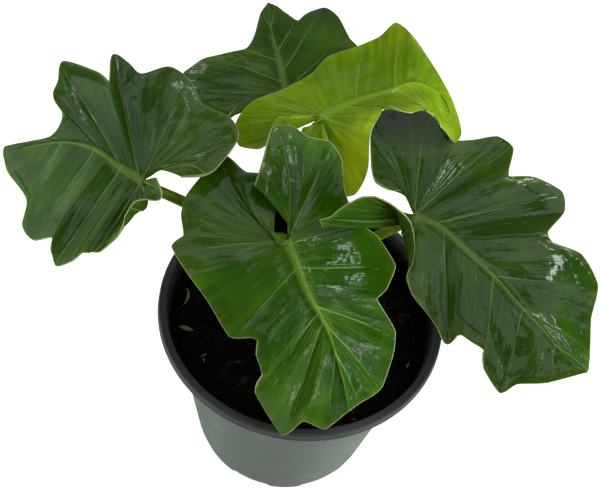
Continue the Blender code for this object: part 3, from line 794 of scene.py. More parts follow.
class Ray:
    """What the blade's shape and its fine relief need to know about one of its rays.

    off_rib and off_margin turn a length along the ray into a distance from the midrib or the margin,
    and spread and spread_root are how far apart two rays are, one station apart, at either end.
    """

    def __init__(self, leaf, row, side):
        self.root, self.edge = ray_ends(leaf, row, side)
        self.bow = straight_between(leaf.bends[side], row)
        self.skew = 0.5 + 0.5 * min(1.0, row)
        self.gap = vein_gap(leaf.veins[side], row)
        run = self.edge - self.root
        self.length = max(run.length, SHORTEST)

        share = straight_between(leaf.roots, row)
        last = len(leaf.midrib) - 1
        ahead = between(leaf.midrib, min(share * last + RIB_STEP, last))
        behind = between(leaf.midrib, max(share * last - RIB_STEP, 0.0))
        course = (ahead - behind).normalized()
        way = run.normalized() if run.length > SHORTEST else course
        forward = way.dot(course)
        self.off_rib = way.cross(course).length if forward > 0 else 1.0 + min(1.5, -3.0 * forward)

        near = max(0.0, row - NEIGHBOUR)
        far = min(float(len(leaf.roots) - 1), row + NEIGHBOUR)
        stations = max(far - near, SHORTEST)
        root_step, edge_step = (after - before for before, after
                                in zip(ray_ends(leaf, near, side), ray_ends(leaf, far, side)))
        self.off_margin = 1.0
        if edge_step.length > SHORTEST:
            self.off_margin = max(0.25, way.cross(edge_step.normalized()).length)
        self.spread = way.cross(edge_step).length / stations
        self.spread_root = way.cross(root_step).length / stations

        self.rib_fade = 0.7 * share
        self.rib_depth = 1.0 - smoothstep(0.60, 0.85, share)
        self.rib_half = RIB_TAPER * (1.0 - share) ** 1.1 + RIB_TIP_HALF


def blade_point(leaf, reach, ray):
    """A point of the blade's face: reach runs from 0 on the midrib to 1 on the margin."""
    bulge = reach ** ray.skew
    point = ray.root.lerp(ray.edge, reach) + ray.bow * (4 * bulge * (1 - bulge))
    swell = SWELL_SHARE * leaf.quilt * ray.gap * math.sin(math.pi * reach ** SWELL_LEAN)
    swell *= smoothstep(0.5, 10.0, ray.length * reach * ray.off_rib)
    point.z += swell * min(1.0, ray.length / FULL_SWELL_LENGTH)
    return point


def blade_fields(leaf, row, side, reach, ray):
    """Distances that colour and shape a blade: rib and vein in half widths, minor and margin in mm.

    The last one, the gap, is the distance between the two nearest side veins, in mm.
    """
    rib = ray.length * reach * ray.off_rib / ray.rib_half
    wander = noise.noise(Vector((row * 0.9, reach * 2.3, side * 5.0)))
    phase = vein_phase(leaf.veins[side], row - VEIN_SWEEP * reach ** 2 + VEIN_WANDER * wander)
    index = min(max(int(phase), 0), len(leaf.veins[side]) - 2)
    stations = leaf.veins[side][index + 1] - leaf.veins[side][index]
    gap = (ray.spread * reach + ray.spread_root * (1 - reach)) * stations
    vein = abs(math.sin(math.pi * phase)) * gap / math.pi / (VEIN_HALF - VEIN_THINNING * reach)
    vein += 1.2 * (1.0 - smoothstep(0.5, 2.5, gap))
    turns = MINOR_VEINS * math.pi
    minor = abs(math.sin(turns * phase)) * gap / turns + MINOR_HALF * (1.0 - smoothstep(2.0, 7.0, gap))
    margin = ray.length * (1 - reach) * ray.off_margin
    return rib, vein, minor, margin, gap


def blade_relief(settings, row, side, reach, fields, ray):
    """Height of the fine relief above the blade's plain face, in millimetres."""
    rib, vein, minor, margin, gap = fields
    body = smoothstep(1.0, 3.5, rib) * smoothstep(0.0, 5.0, margin)
    ridge = settings.ridge / MM * bell(rib, RIB_PROFILE) * ray.rib_half / 2.0
    wide = smoothstep(0.8, 1.6, rib) * smoothstep(1.0, 7.0, gap)
    groove = settings.groove / MM * math.exp(-vein ** 2 / 2) * wide
    pillow = PILLOW_HEIGHT * min(1.0, minor * 1.6) * body * smoothstep(2.0, 9.0, gap)
    pucker = PUCKER_HEIGHT * noise.noise(Vector((row * 0.55, reach * 3.1, 9.0 + 4.0 * side)))
    ripple = RIPPLE_HEIGHT * noise.noise(Vector((row * 1.7, reach * 1.9, 2.0 + 4.0 * side)))
    wave = noise.noise(Vector((row * 0.62, 3.0 * side, 5.0)))
    curl = smoothstep(0.80, 1.0, reach) * (wave - MARGIN_ROLL)
    full = min(1.0, ray.length / FULL_SWELL_LENGTH)
    return ridge - groove + pillow + full * (body * (pucker + ripple) + curl)


def under_share(fields, ray, clear):
    """How much of the midrib's depth the blade has under it, from 0 to about 1."""
    rib, vein, _, margin, gap = fields
    slim = ray.rib_half / 2.35
    under = slim * bell(rib, RIB_PROFILE) * smoothstep(0.0, 6.0, margin) * ray.rib_depth
    side_rib = SIDE_RIB_SHARE * bell(vein) * smoothstep(0.0, 8.0, margin) * smoothstep(1.0, 7.0, gap)
    return clear * max(under, side_rib)


def make_blade(leaf, materials, settings):
    """A fine grid on the blade's face, with relief, closed to a thin solid with a rib underneath."""
    last_row = len(leaf.roots) - 1
    row_count = last_row * settings.rows
    columns = settings.columns
    builder = bmesh.new()
    bmesh.ops.create_grid(builder, x_segments=row_count, y_segments=2 * columns, size=1.0)
    layers = [builder.verts.layers.float.new(name) for name in ("rib", "vein", "minor", "margin")]
    relief = builder.verts.layers.float.new("relief")
    tone_and_painted_light = builder.verts.layers.float.new("tone_and_painted_light")
    weights = builder.verts.layers.deform.verify()
    uv = builder.loops.layers.uv.new("rays")
    for face in builder.faces:
        for loop in face.loops:
            x, y, _ = loop.vert.co
            loop[uv].uv = ((x + 1) / 2 * last_row / 10, y)
    rays = {}
    for vertex in builder.verts:
        row = round((vertex.co.x + 1) / 2 * row_count) / settings.rows
        column = round(vertex.co.y * columns)
        side = 0 if column < 0 else 1
        reach = (abs(column) / columns) ** 1.2
        if (row, side) not in rays:
            rays[row, side] = Ray(leaf, row, side)
        ray = rays[row, side]
        fields = blade_fields(leaf, row, side, reach, ray)
        for layer, value in zip(layers, fields):
            vertex[layer] = value
        vertex[layers[0]] += ray.rib_fade
        vertex[relief] = blade_relief(settings, row, side, reach, fields, ray)
        point = blade_point(leaf, reach, ray)
        vertex[tone_and_painted_light] = leaf.tone_and_painted_light_at(point)
        vertex[weights][0] = under_share(fields, ray, smoothstep(1.5, 7.0, point.length))
        vertex.co = leaf.to_world(point)
    bmesh.ops.remove_doubles(builder, verts=builder.verts, dist=SHORTEST)
    builder.normal_update()
    for vertex in builder.verts:
        distance = (vertex.co - leaf.foot).length
        vertex.co += vertex.normal * (vertex[relief] * smoothstep(1.0, 7.0, distance))
        vertex.co += leaf.axes[2] * (settings.knob / MM * bell(distance, KNOB_RADIUS))
    piece = add_piece(f"{leaf.name}_blade", builder, materials, leaf.name)
    piece.vertex_groups.new(name="thick")
    solid = piece.modifiers.new("Solidify", "SOLIDIFY")
    solid.thickness = settings.thickness + settings.rib_depth
    solid.offset = -1.0
    solid.vertex_group = "thick"
    solid.thickness_vertex_group = settings.thickness / (settings.thickness + settings.rib_depth)
    solid.material_offset = 1
    solid.material_offset_rim = 1
    piece.data.shade_smooth()
    return piece


# Stem and stalks

def stalk_material(settings):
    """Satin olive stalks with pale streaks along them, and dry brown sheaths at their feet."""
    material, tree, shader = new_material("stalk_green", Specular_IOR_Level=0.08)
    rays = add_rays(tree)
    streaks = add_noise(tree, rays, 1.0, 4.0, 0.6, stretch=(9.0, 0.9, 1.0))
    fine = add_noise(tree, rays, 1.0, 3.0, 0.6, stretch=(40.0, 1.6, 1.0))
    flecks = add_range(tree, add_noise(tree, add_place(tree), 900.0, 1.0), 0.66, 0.74)
    foot = add_range(tree, add_attribute(tree, "foot"), 0.15, 1.0)
    colour = add_mix(tree, add_range(tree, streaks, 0.38, 0.70), rgba(settings.colour),
                     rgba(settings.pale))
    colour = add_layer(tree, colour, rgba(settings.pale), flecks, 0.4)
    colour = add_layer(tree, colour, rgba(settings.sheath), foot, 0.75)
    tree.links.new(colour, shader.inputs["Base Color"])
    tree.links.new(add_range(tree, fine, 0.3, 0.8, 0.26, 0.40), shader.inputs["Roughness"])
    add_bump(tree, shader, fine, 0.00012)
    return material


def stalk_run(leaf, start, bow, direction, gap):
    """The four points of a stalk's curve, which ends just under the blade's midrib."""
    along, across, up = leaf.axes
    heading = (along * direction[0] + across * direction[1] + up * direction[2]).normalized()
    lean = math.sqrt(max(0.0, 1.0 - heading.dot(up) ** 2))
    end = leaf.foot - up * (BLADE_THICKNESS + RIB_DEPTH + gap + STALK_END_RADIUS * lean)
    start = Vector(start)
    return start, Vector(bow), end - heading * ((end - start).length * STALK_LEAD), end


def curve_point(points, share):
    """A point of the cubic curve, and the way it runs there."""
    start, bow, lead, end = points
    rest = 1.0 - share
    place = (start * rest ** 3 + bow * (3 * rest ** 2 * share) + lead * (3 * rest * share ** 2)
             + end * share ** 3)
    course = (bow - start) * rest ** 2 + (lead - bow) * (2 * rest * share) + (end - lead) * share ** 2
    return place, course.normalized()


def make_tube(name, place_at, radius_at, settings, node, material, length_in_turns=1.0):
    """A closed tube: place_at gives its middle line at a share, and radius_at its radius at an angle."""
    builder = bmesh.new()
    steps, sides = settings.steps, settings.sides
    bmesh.ops.create_grid(builder, x_segments=steps, y_segments=sides, size=1.0)
    uv = builder.loops.layers.uv.new("rays")
    foot = builder.verts.layers.float.new("foot")
    for face in builder.faces:
        for loop in face.loops:
            x, y, _ = loop.vert.co
            loop[uv].uv = ((y + 1) / 2, (x + 1) / 2 * length_in_turns)
    side_way = Vector((0.3, -1.0, 0.1))
    frames = {}
    for step in range(steps + 1):
        place, course = place_at(step / steps)
        side_way = (side_way - course * side_way.dot(course)).normalized()
        frames[step] = (place, side_way.copy(), course.cross(side_way))
    for vertex in builder.verts:
        step = round((vertex.co.x + 1) / 2 * steps)
        angle = (vertex.co.y + 1) * math.pi
        place, first, second = frames[step]
        radius = radius_at(step / steps, angle)
        vertex[foot] = 1.0 - smoothstep(0.0, 0.28, step / steps)
        vertex.co = place + (first * math.cos(angle) + second * math.sin(angle)) * radius
    bmesh.ops.remove_doubles(builder, verts=builder.verts, dist=0.005)
    close_ends(builder)
    shade_smooth(add_piece(name, builder, [material], node), 60)


def make_stalk(run, settings, material, node):
    """One leaf stalk, broad where it clasps the stem, with a shallow groove along its top.

    Past the end of its curve it runs on into the midrib, to just under the blade's face.
    """
    leaf = run[0]
    points = stalk_run(*run)
    reach_up = (leaf.foot - points[3]).length - STALK_COVER

    def place_at(share):
        along = share * (1.0 + STALK_OVERRUN)
        place, course = curve_point(points, min(along, 1.0))
        return place + course * (max(0.0, along - 1.0) * reach_up / STALK_OVERRUN), course

    def radius_at(share, angle):
        radius = STALK_FOOT_RADIUS + (STALK_END_RADIUS - STALK_FOOT_RADIUS) * share ** 0.5
        radius += 1.3 * (1.0 - smoothstep(0.0, 0.16, share)) + 0.5 * smoothstep(0.93, 1.0, share)
        groove = 0.07 * bell(angle - math.pi, 0.5)
        unevenness = 0.05 * noise.noise(Vector((share * 9.0, math.cos(angle) * 0.6, leaf.foot.x)))
        return radius * (1.0 - groove + unevenness)

    make_tube(leaf.name.replace("leaf", "stalk"), place_at, radius_at, settings, node, material, 3.0)


def make_stem(settings, material):
    """The short ringed stem, from its foot in the soil to the top, where the stalks leave it."""
    bottom = SOIL_LEVEL - STEM_DEPTH

    def place_at(share):
        height = bottom + (STEM_TOP - bottom) * share
        return Vector((0.0, 0.0, height)), Vector((0.0, 0.0, 1.0))

    def radius_at(share, angle):
        height = bottom + (STEM_TOP - bottom) * share
        ring = 0.35 * math.sin(height * 1.1 + 0.6 * math.cos(angle)) ** 4
        crown = 1.0 - 0.75 * smoothstep(0.93, 1.0, share) ** 2
        lumps = 0.6 * noise.noise(Vector((math.cos(angle) * 1.3, math.sin(angle) * 1.3, height * 0.12)))
        return (STEM_RADIUS * (1.0 - 0.10 * share) + ring + lumps) * crown

    make_tube("stem", place_at, radius_at, settings, None, material)


# Pot

GRAIN_DEPTH = 0.00008


def plastic_grain_group():
    """Fine grain, scuffs and dust of moulded plastic."""
    group, start, end = new_group("Plastic grain", ("Plain", "Dust"))
    place = add_place(group)
    grain = add_noise(group, place, 1400.0, 2.0)
    cloud = add_noise(group, place, 34.0, 4.0, 0.6)
    scuffs = add_noise(group, place, 1.0, 3.0, 0.6, stretch=(60.0, 60.0, 420.0))
    dust = add_math(group, "MULTIPLY", add_range(group, cloud, 0.45, 0.75),
                    add_range(group, scuffs, 0.42, 0.72))
    colour = add_layer(group, start.outputs["Plain"], start.outputs["Dust"], dust, 0.22)
    group.links.new(colour, end.inputs["Colour"])
    group.links.new(add_sum(group, (grain, 0.6), (cloud, 0.6)), end.inputs["Relief"])
    group.links.new(add_range(group, cloud, 0.35, 0.7, 0.34, 0.48), end.inputs["Dullness"])
    return group


def pot_inside_material(settings, grain):
    """Dull black inside, dusted by the soil; far darker than the same plastic at the lip, as painted
    shade.
    """
    material, tree, shader = new_material("pot_inside_finish", Specular_IOR_Level=0.08, Roughness=0.8)
    colours = {"Plain": rgba(settings.black), "Dust": rgba(settings.soil_dust)}
    use_group(tree, shader, grain, colours, GRAIN_DEPTH)
    return material


def pot_material(settings, grain):
    """Sage-green outside and near-black lip, with the soft sheen of dusty plastic, and painted light on
    the neck: a paler band where light catches it.
    """
    material, tree, shader = new_material(
        "pot_plastic_finish", Specular_IOR_Level=0.45, Sheen_Weight=0.04, Sheen_Roughness=0.5)
    outside = add_range(tree, add_attribute(tree, "outside"), 0.45, 0.55)
    lip = add_range(tree, add_attribute(tree, "lip"), 0.3, 0.7)
    plain = add_mix(tree, lip, rgba(settings.black), rgba(settings.grey))
    plain = add_mix(tree, outside, plain, rgba(settings.green))
    # Painted light: the neck under the lip is made paler, as where it catches the light.
    plain = add_layer(tree, plain, rgba(settings.neck_painted_light), add_attribute(tree, "neck"), 0.25)
    finish = use_group(tree, shader, grain, {"Dust": rgba(settings.dust)}, GRAIN_DEPTH)
    tree.links.new(plain, finish.inputs["Plain"])
    tree.links.new(finish.outputs["Dullness"], shader.inputs["Roughness"])
    return material


def wall_radius(height):
    """Outer radius of the tapered body under the shoulder."""
    top_radius = LIP_RADIUS - LIP_WIDTH - NECK_TAPER + WALL - SHOULDER_STEP
    return BASE_RADIUS + (top_radius - BASE_RADIUS) * height / BODY_TOP


def squeezed(place):
    """The thin wall is a little out of round towards the lip: flatter in front and wider at the sides."""
    share = smoothstep(SQUEEZE_START, POT_HEIGHT, place.z)
    deep = place.y * (1.0 - FRONT_SQUEEZE * share) if place.y < 0.0 else place.y
    return Vector((place.x * (1.0 + SIDE_STRETCH * share), deep, place.z))


def pot_corners(bead):
    """The pot's section, up the inside, over the lip and down the outside: radius, height, rounding."""
    neck_inner = LIP_RADIUS - LIP_WIDTH
    neck_outer = neck_inner + WALL
    floor_top = ARCH_HEIGHT + FLOOR
    lip_foot = POT_HEIGHT - LIP_DROP
    return (
        (0.0, FLOOR, 0),
        (HUB_RADIUS - 1.0, FLOOR, 0.8),
        (HUB_RADIUS + 1.5, floor_top, 0.8),
        (wall_radius(floor_top) - WALL, floor_top, 1.6),
        (wall_radius(BODY_TOP) - WALL, BODY_TOP + 0.4, 1.2),
        (neck_inner - NECK_TAPER, NECK_BOTTOM + 0.8, 1.2),
        (neck_inner, POT_HEIGHT, 1.1),
        (LIP_RADIUS - bead, POT_HEIGHT, 1.1),
        (LIP_RADIUS - bead, lip_foot + 4 * bead, 0.3),
        (LIP_RADIUS, lip_foot + 2.5 * bead, 0.4),
        (LIP_RADIUS, lip_foot, 0.35),
        (LIP_RADIUS - WALL, lip_foot, 0.3),
        (LIP_RADIUS - WALL, POT_HEIGHT - WALL, 0.8),
        (neck_outer, POT_HEIGHT - WALL, 0.8),
        (neck_outer - NECK_TAPER, NECK_BOTTOM, 1.2),
        (wall_radius(BODY_TOP), BODY_TOP, 1.2),
        (wall_radius(ARCH_HEIGHT + 0.8), ARCH_HEIGHT + 0.8, 1.0),
        (BASE_RADIUS - 0.3, 0.0, 0.5),
        (FOOT_INNER_RADIUS, 0.0, 0.6),
        (FOOT_INNER_RADIUS - 1.0, ARCH_HEIGHT, 0.6),
        (HUB_RADIUS + 1.0, ARCH_HEIGHT, 0.6),
        (HUB_RADIUS, 0.0, 0.6),
        (0.0, 0.0, 0),
    )


def foot_share(angle):
    """1 on a foot of the base and 0 on the arches between the feet, with a short slope between."""
    pitch = 360.0 / FOOT_COUNT
    offset = (math.degrees(angle) - FIRST_FOOT_ANGLE + pitch / 2) % pitch - pitch / 2
    return 1.0 - smoothstep(FOOT_ANGLE / 2 - FOOT_SLOPE, FOOT_ANGLE / 2 + FOOT_SLOPE, abs(offset))


def pot_masks(radius, height):
    """Whether a point of the pot belongs to its outside, to its lip and to its neck."""
    lip = height > POT_HEIGHT - LIP_CAP or radius > LIP_RADIUS - SKIN
    if height < BODY_TOP:
        outside = radius > wall_radius(height) - SKIN or height < ARCH_HEIGHT + 0.5 * FLOOR
        return outside, lip, False
    below_lip = height < POT_HEIGHT - 1.5 * WALL and radius < LIP_RADIUS - 1.5 * WALL
    taper = NECK_TAPER * (POT_HEIGHT - height) / (POT_HEIGHT - NECK_BOTTOM)
    neck = below_lip and radius > LIP_RADIUS - LIP_WIDTH + 0.5 * WALL - taper
    return neck, lip, neck


def make_pot(settings):
    """The pot as one turned shell, with arches cut in its foot ring and drain holes in its floor."""
    outline = rounded(pot_corners(settings.bead / MM))
    builder = bmesh.new()
    points = [builder.verts.new((radius, 0.0, height)) for radius, height in outline]
    edges = [builder.edges.new((start, end)) for start, end in zip(points, points[1:])]
    bmesh.ops.spin(builder, geom=points + edges, cent=(0, 0, 0), axis=(0, 0, 1),
                   angle=math.tau, steps=settings.steps, use_merge=True)
    bmesh.ops.remove_doubles(builder, verts=builder.verts, dist=0.005)
    bmesh.ops.recalc_face_normals(builder, faces=builder.faces)
    masks = [builder.verts.layers.float.new(name) for name in ("outside", "lip", "neck")]
    for vertex in builder.verts:
        radius = math.hypot(vertex.co.x, vertex.co.y)
        height = vertex.co.z
        for layer, value in zip(masks, pot_masks(radius, height)):
            vertex[layer] = float(value)
        if radius > FOOT_INNER_RADIUS - 1.2 and height < ARCH_CUT:
            raised = 1.0 - foot_share(math.atan2(vertex.co.y, vertex.co.x))
            vertex.co.z += (ARCH_CUT - height) * raised
    for face in builder.faces:
        if not any(vertex[layer] for vertex in face.verts for layer in masks):
            face.material_index = 1
    for vertex in builder.verts:
        vertex.co = squeezed(vertex.co)
    grain = plastic_grain_group()
    materials = [pot_material(settings, grain), pot_inside_material(settings, grain)]
    pot = add_piece("pot_shell", builder, materials, "pot")
    cut_drains(pot)
    shade_smooth(pot, 50)


def cut_drains(pot):
    """Cut the round drain holes through the raised part of the floor."""
    builder = bmesh.new()
    for number in range(FOOT_COUNT):
        angle = math.radians(FIRST_FOOT_ANGLE + (number + 0.5) * 360.0 / FOOT_COUNT)
        place = Matrix.Translation((DRAIN_DISTANCE * math.cos(angle), DRAIN_DISTANCE * math.sin(angle),
                                    ARCH_HEIGHT + FLOOR / 2))
        bmesh.ops.create_cone(builder, cap_ends=True, segments=DRAIN_SIDES, radius1=DRAIN_RADIUS,
                              radius2=DRAIN_RADIUS, depth=FLOOR * 3, matrix=place)
    cutter = link_object("drain_cutter", mesh_from(builder, "drain_cutter"))
    cut = pot.modifiers.new("Drains", "BOOLEAN")
    cut.object = cutter
    cut.operation = "DIFFERENCE"
    cut.solver = "EXACT"
    graph = bpy.context.evaluated_depsgraph_get()
    pot.data = bpy.data.meshes.new_from_object(pot.evaluated_get(graph), depsgraph=graph)
    pot.modifiers.clear()
    bpy.data.objects.remove(cutter, do_unlink=True)


# Soil

def soil_height(x, y):
    """The crumbly top of the soil: two scales of lumps, as in the CAD solid."""
    broad = noise.noise(Vector((x / SOIL_LUMP, y / SOIL_LUMP, 3.0)))
    fine = noise.noise(Vector((x / SOIL_CRUMB, y / SOIL_CRUMB, 7.0)))
    return broad + 0.8 * fine


def soil_material(settings):
    """Dark damp potting mix with brown specks."""
    material, tree, shader = new_material("soil_finish", Specular_IOR_Level=0.12)
    place = add_place(tree)
    lumps = add_noise(tree, place, 190.0, 5.0, 0.7)
    specks = add_range(tree, add_noise(tree, place, 520.0, 2.0), 0.62, 0.72)
    colour = add_mix(tree, add_range(tree, lumps, 0.42, 0.75), rgba(settings.earth),
                     rgba([4.5 * part for part in settings.earth]))
    colour = add_layer(tree, colour, rgba(settings.bark), specks, 0.60)
    tree.links.new(colour, shader.inputs["Base Color"])
    tree.links.new(add_range(tree, lumps, 0.3, 0.7, 0.75, 0.98), shader.inputs["Roughness"])
    add_bump(tree, shader, add_noise(tree, place, 700.0, 4.0, 0.7), 0.0006)
    return material


def litter_material(name, colour, variety):
    """Bark, fibre or straw: colour that changes from piece to piece and along the grain."""
    material, tree, shader = new_material(name, Specular_IOR_Level=0.3, Roughness=0.8)
    place = add_place(tree)
    broad = add_range(tree, add_noise(tree, place, 95.0, 2.0), 0.35, 0.70)
    fine = add_noise(tree, place, 1500.0, 3.0, 0.6)
    mixed = add_layer(tree, rgba(colour), rgba([0.22 * part for part in colour]), broad, variety)
    mixed = add_mix(tree, 0.6, mixed, add_mix(tree, 1.0, mixed, fine, "MULTIPLY"))
    tree.links.new(mixed, shader.inputs["Base Color"])
    add_bump(tree, shader, fine, 0.0003)
    return material


def make_soil(settings):
    """The soil's top as a fine disc of lumps, closed by a tapered side and a floor."""
    builder = bmesh.new()
    bmesh.ops.create_grid(builder, x_segments=settings.cells, y_segments=settings.cells, size=1.0)
    top_radius = wall_radius(SOIL_LEVEL) - WALL - SOIL_GAP
    foot_height = ARCH_HEIGHT + FLOOR + SOIL_GAP
    foot_scale = (wall_radius(foot_height) - WALL - SOIL_GAP) / top_radius
    for vertex in builder.verts:
        x, y = vertex.co.x, vertex.co.y
        across = top_radius * x * math.sqrt(1 - y * y / 2)
        deep = top_radius * y * math.sqrt(1 - x * x / 2)
        inside = 1.0 - smoothstep(0.93, 1.0, math.hypot(across, deep) / top_radius)
        grains = noise.fractal(Vector((across / SOIL_GRAIN, deep / SOIL_GRAIN, 1.0)), 0.8, 2.1, 4)
        lift = settings.roughness / MM * soil_height(across, deep) + GRAIN_HEIGHT * grains
        vertex.co = squeezed(Vector((across, deep, SOIL_LEVEL + lift * inside)))
    rim = [edge for edge in builder.edges if edge.is_boundary]
    wall = bmesh.ops.extrude_edge_only(builder, edges=rim)["geom"]
    for item in wall:
        if isinstance(item, bmesh.types.BMVert):
            item.co = (item.co.x * foot_scale, item.co.y * foot_scale, foot_height)
    close_ends(builder)
    shade_smooth(add_piece("soil_bed", builder, [soil_material(settings)], "soil"), 60)


def scattered(rng, count, inner, outer):
    """Places on the soil, spread evenly over the ring between two radii."""
    for _ in range(count):
        radius = math.sqrt(rng.uniform(inner ** 2, outer ** 2))
        angle = rng.uniform(0.0, math.tau)
        yield radius * math.cos(angle), radius * math.sin(angle)


def ground(settings, x, y):
    """Height of the soil's top, without its finest grains."""
    return SOIL_LEVEL + settings.roughness / MM * soil_height(x, y)


def jitter(rng, points, share, size):
    """Shift each vertex at random, by up to a share of a size along each axis."""
    for vertex in points:
        vertex.co += Vector([rng.uniform(-share, share) * size for _ in range(3)])


def make_crumbs(settings):
    """Loose crumbs of every size, each a squashed and turned small ball."""
    rng = random.Random(settings.seed)
    builder = bmesh.new()
    for x, y in scattered(rng, settings.crumbs, STEM_RADIUS + 1.5, CRUMB_EDGE):
        size = SMALLEST_CRUMB + CRUMB_RANGE * rng.random() ** 3
        shape = Matrix.Diagonal((size, size * rng.uniform(0.5, 1.0), size * rng.uniform(0.4, 0.9), 1.0))
        turn = Matrix.Rotation(rng.uniform(0, math.tau), 4, "Z")
        turn = turn @ Matrix.Rotation(rng.uniform(0, 3), 4, "X")
        place = Matrix.Translation((x, y, ground(settings, x, y) + size * 0.2))
        made = bmesh.ops.create_icosphere(builder, subdivisions=1, radius=1.0, matrix=place @ turn @ shape)
        jitter(rng, made["verts"], 0.16, size)
    add_piece("soil_crumbs", builder, [soil_material(settings)], None)


def add_chip(builder, rng, place, length, width, thickness, heading, tilt):
    """One flat splinter of bark with broken ends."""
    turn = Matrix.Rotation(heading, 4, "Z") @ Matrix.Rotation(tilt, 4, "Y") @ Matrix.Rotation(
        rng.uniform(-0.4, 0.4), 4, "X")
    shape = Matrix.Diagonal((length, width, thickness, 1.0))
    made = bmesh.ops.create_cube(builder, size=1.0, matrix=Matrix.Translation(place) @ turn @ shape)
    jitter(rng, made["verts"], 0.14, width)
    edges = list({edge for vertex in made["verts"] for edge in vertex.link_edges})
    bmesh.ops.bevel(builder, geom=edges, offset=thickness * 0.25, affect="EDGES", segments=1,
                    profile=0.5, material=-1)


def make_chips(settings):
    """Brown bark chips, many of them half sunk."""
    rng = random.Random(settings.seed + 1)
    builder = bmesh.new()
    for x, y in scattered(rng, settings.chips, STEM_RADIUS + STEM_CLEARANCE, CHIP_EDGE):
        length = rng.uniform(2.5, 8.0)
        width = length * rng.uniform(0.3, 0.6)
        place = (x, y, ground(settings, x, y) + rng.uniform(-0.2, 0.7))
        add_chip(builder, rng, place, length, width, rng.uniform(0.7, 1.5),
                 rng.uniform(0, math.tau), rng.uniform(-0.35, 0.35))
    add_piece("bark_chips", builder, [litter_material("bark_finish", settings.bark, 0.9)], None)


def add_fibre(builder, start, way, length, radius, curl, lift):
    """A thin curved fibre that lies on the soil."""
    made = bmesh.ops.create_grid(builder, x_segments=9, y_segments=5, size=1.0)
    for vertex in made["verts"]:
        share = (vertex.co.x + 1) / 2
        angle = (vertex.co.y + 1) * math.pi
        turn = way + curl * (share - 0.5)
        course = Vector((math.cos(turn), math.sin(turn), 0.0))
        middle = start + course * (length * (share - 0.5))
        middle.z += lift * math.sin(math.pi * share)
        thin = radius * (0.25 + 0.75 * math.sin(math.pi * share))
        side = Vector((-course.y, course.x, 0.0))
        vertex.co = middle + (side * math.cos(angle) + Vector((0, 0, 1)) * math.sin(angle)) * thin
    bmesh.ops.remove_doubles(builder, verts=made["verts"], dist=0.002)


def make_fibres(settings):
    """Coir fibres and rootlets strewn over the soil."""
    rng = random.Random(settings.seed + 2)
    builder = bmesh.new()
    for x, y in scattered(rng, settings.fibres, STEM_RADIUS + STEM_CLEARANCE, FIBRE_EDGE):
        start = Vector((x, y, ground(settings, x, y) + 0.7))
        add_fibre(builder, start, rng.uniform(0, math.tau), rng.uniform(5, 15), rng.uniform(0.14, 0.34),
                  rng.uniform(-1.6, 1.6), rng.uniform(0.2, 1.8))
    close_ends(builder)
    add_piece("coir_fibres", builder, [litter_material("fibre_finish", settings.bark, 0.5)], None)


# Pale chips that catch the eye: place on the soil, length, width, heading in degrees, and curl
PALE_CHIPS = (
    (-68.6, 4.8, 13.4, 2.0, 97.0, 0.7),
    (-65.0, -17.6, 9.0, 3.0, -8.0, 0.1),
    (-51.0, -33.2, 4.2, 1.2, 40.0, 0.2),
    (-50.5, -36.0, 3.0, 1.0, 120.0, 0.1),
    (-31.0, -33.4, 2.6, 1.0, 20.0, 0.1),
    (67.0, -18.0, 3.4, 1.1, 70.0, 0.2),
    (38.6, -57.0, 3.0, 1.0, 10.0, 0.1),
    (40.0, 44.0, 7.0, 1.6, 130.0, 0.4),
    (-22.0, 52.0, 9.0, 1.8, 200.0, 0.5),
)


def make_pale_chips(settings):
    """The few straw-coloured slivers that lie on top."""
    builder = bmesh.new()
    for x, y, length, width, heading, curl in PALE_CHIPS:
        start = Vector((x, y, ground(settings, x, y) + 1.2))
        add_fibre(builder, start, math.radians(heading), length, width / 2, curl, 0.8)
    close_ends(builder)
    straw = litter_material("straw_finish", settings.straw, 0.35)
    add_piece("straw_chips", builder, [straw], None).data.shade_smooth()


# Stage

# Lights round the middle of the plant: name, azimuth from the back towards the right, elevation, both
# in degrees, distance, width and height in metres, and brightness, which is what a mirror would show
# of it.  A key light does light the plant, but isn't seen in its gloss.
LIGHTS = (
    ("key_right", 91.0, 44.0, 1.8, 0.6, 0.6, 11.5),
    ("key_left", -50.0, 55.0, 1.8, 0.6, 0.6, 3.5),
    ("key_front", 175.0, 62.0, 1.8, 0.6, 0.6, 4.5),
    ("key_low", 92.0, -11.0, 0.8, 0.6, 0.06, 135.0),
    ("key_low_left", -105.0, -8.0, 0.8, 0.4, 0.20, 34.0),
    ("top_panel", 180.0, 84.0, 1.6, 1.3, 0.9, 0.70),
    ("front_panel", 185.0, 50.0, 1.6, 1.3, 0.5, 0.75),
    ("right_panel", 108.0, 54.0, 1.6, 1.0, 0.7, 0.90),
    ("side_panel", 55.0, 38.0, 1.6, 0.9, 0.6, 0.75),
    ("corner_panel", 125.0, 35.0, 1.6, 0.7, 0.30, 0.75),
    ("back_panel", -6.0, 58.0, 1.7, 2.0, 0.55, 0.65),
    ("left_panel", -90.0, 19.0, 1.6, 2.0, 1.7, 0.50),
    ("low_back_panel", -42.0, 27.0, 1.8, 1.0, 0.5, 0.45),
    ("low_right_panel", 98.0, 11.0, 1.7, 1.0, 0.3, 0.55),
    ("low_front_panel", 132.0, -3.0, 1.5, 1.7, 0.44, 0.36),
    ("window_left", -39.0, 26.0, 1.9, 0.14, 0.10, 4.0),
    ("window_right", 84.0, 42.0, 1.8, 0.26, 0.14, 11.0),
    ("window_front", 124.0, 34.0, 1.8, 0.16, 0.08, 8.0),
    ("window_side", 92.0, 27.0, 1.8, 0.20, 0.09, 7.0),
    ("window_low", 126.0, 1.0, 1.6, 0.36, 0.06, 5.0),
)
LIGHT_CENTRE = Vector((0.0, 0.0, 0.2))

# How far the floor goes from its middle, and the width of the camera's sensor, in millimetres
FLOOR_REACH = 4000.0
SENSOR_WIDTH = 36.0


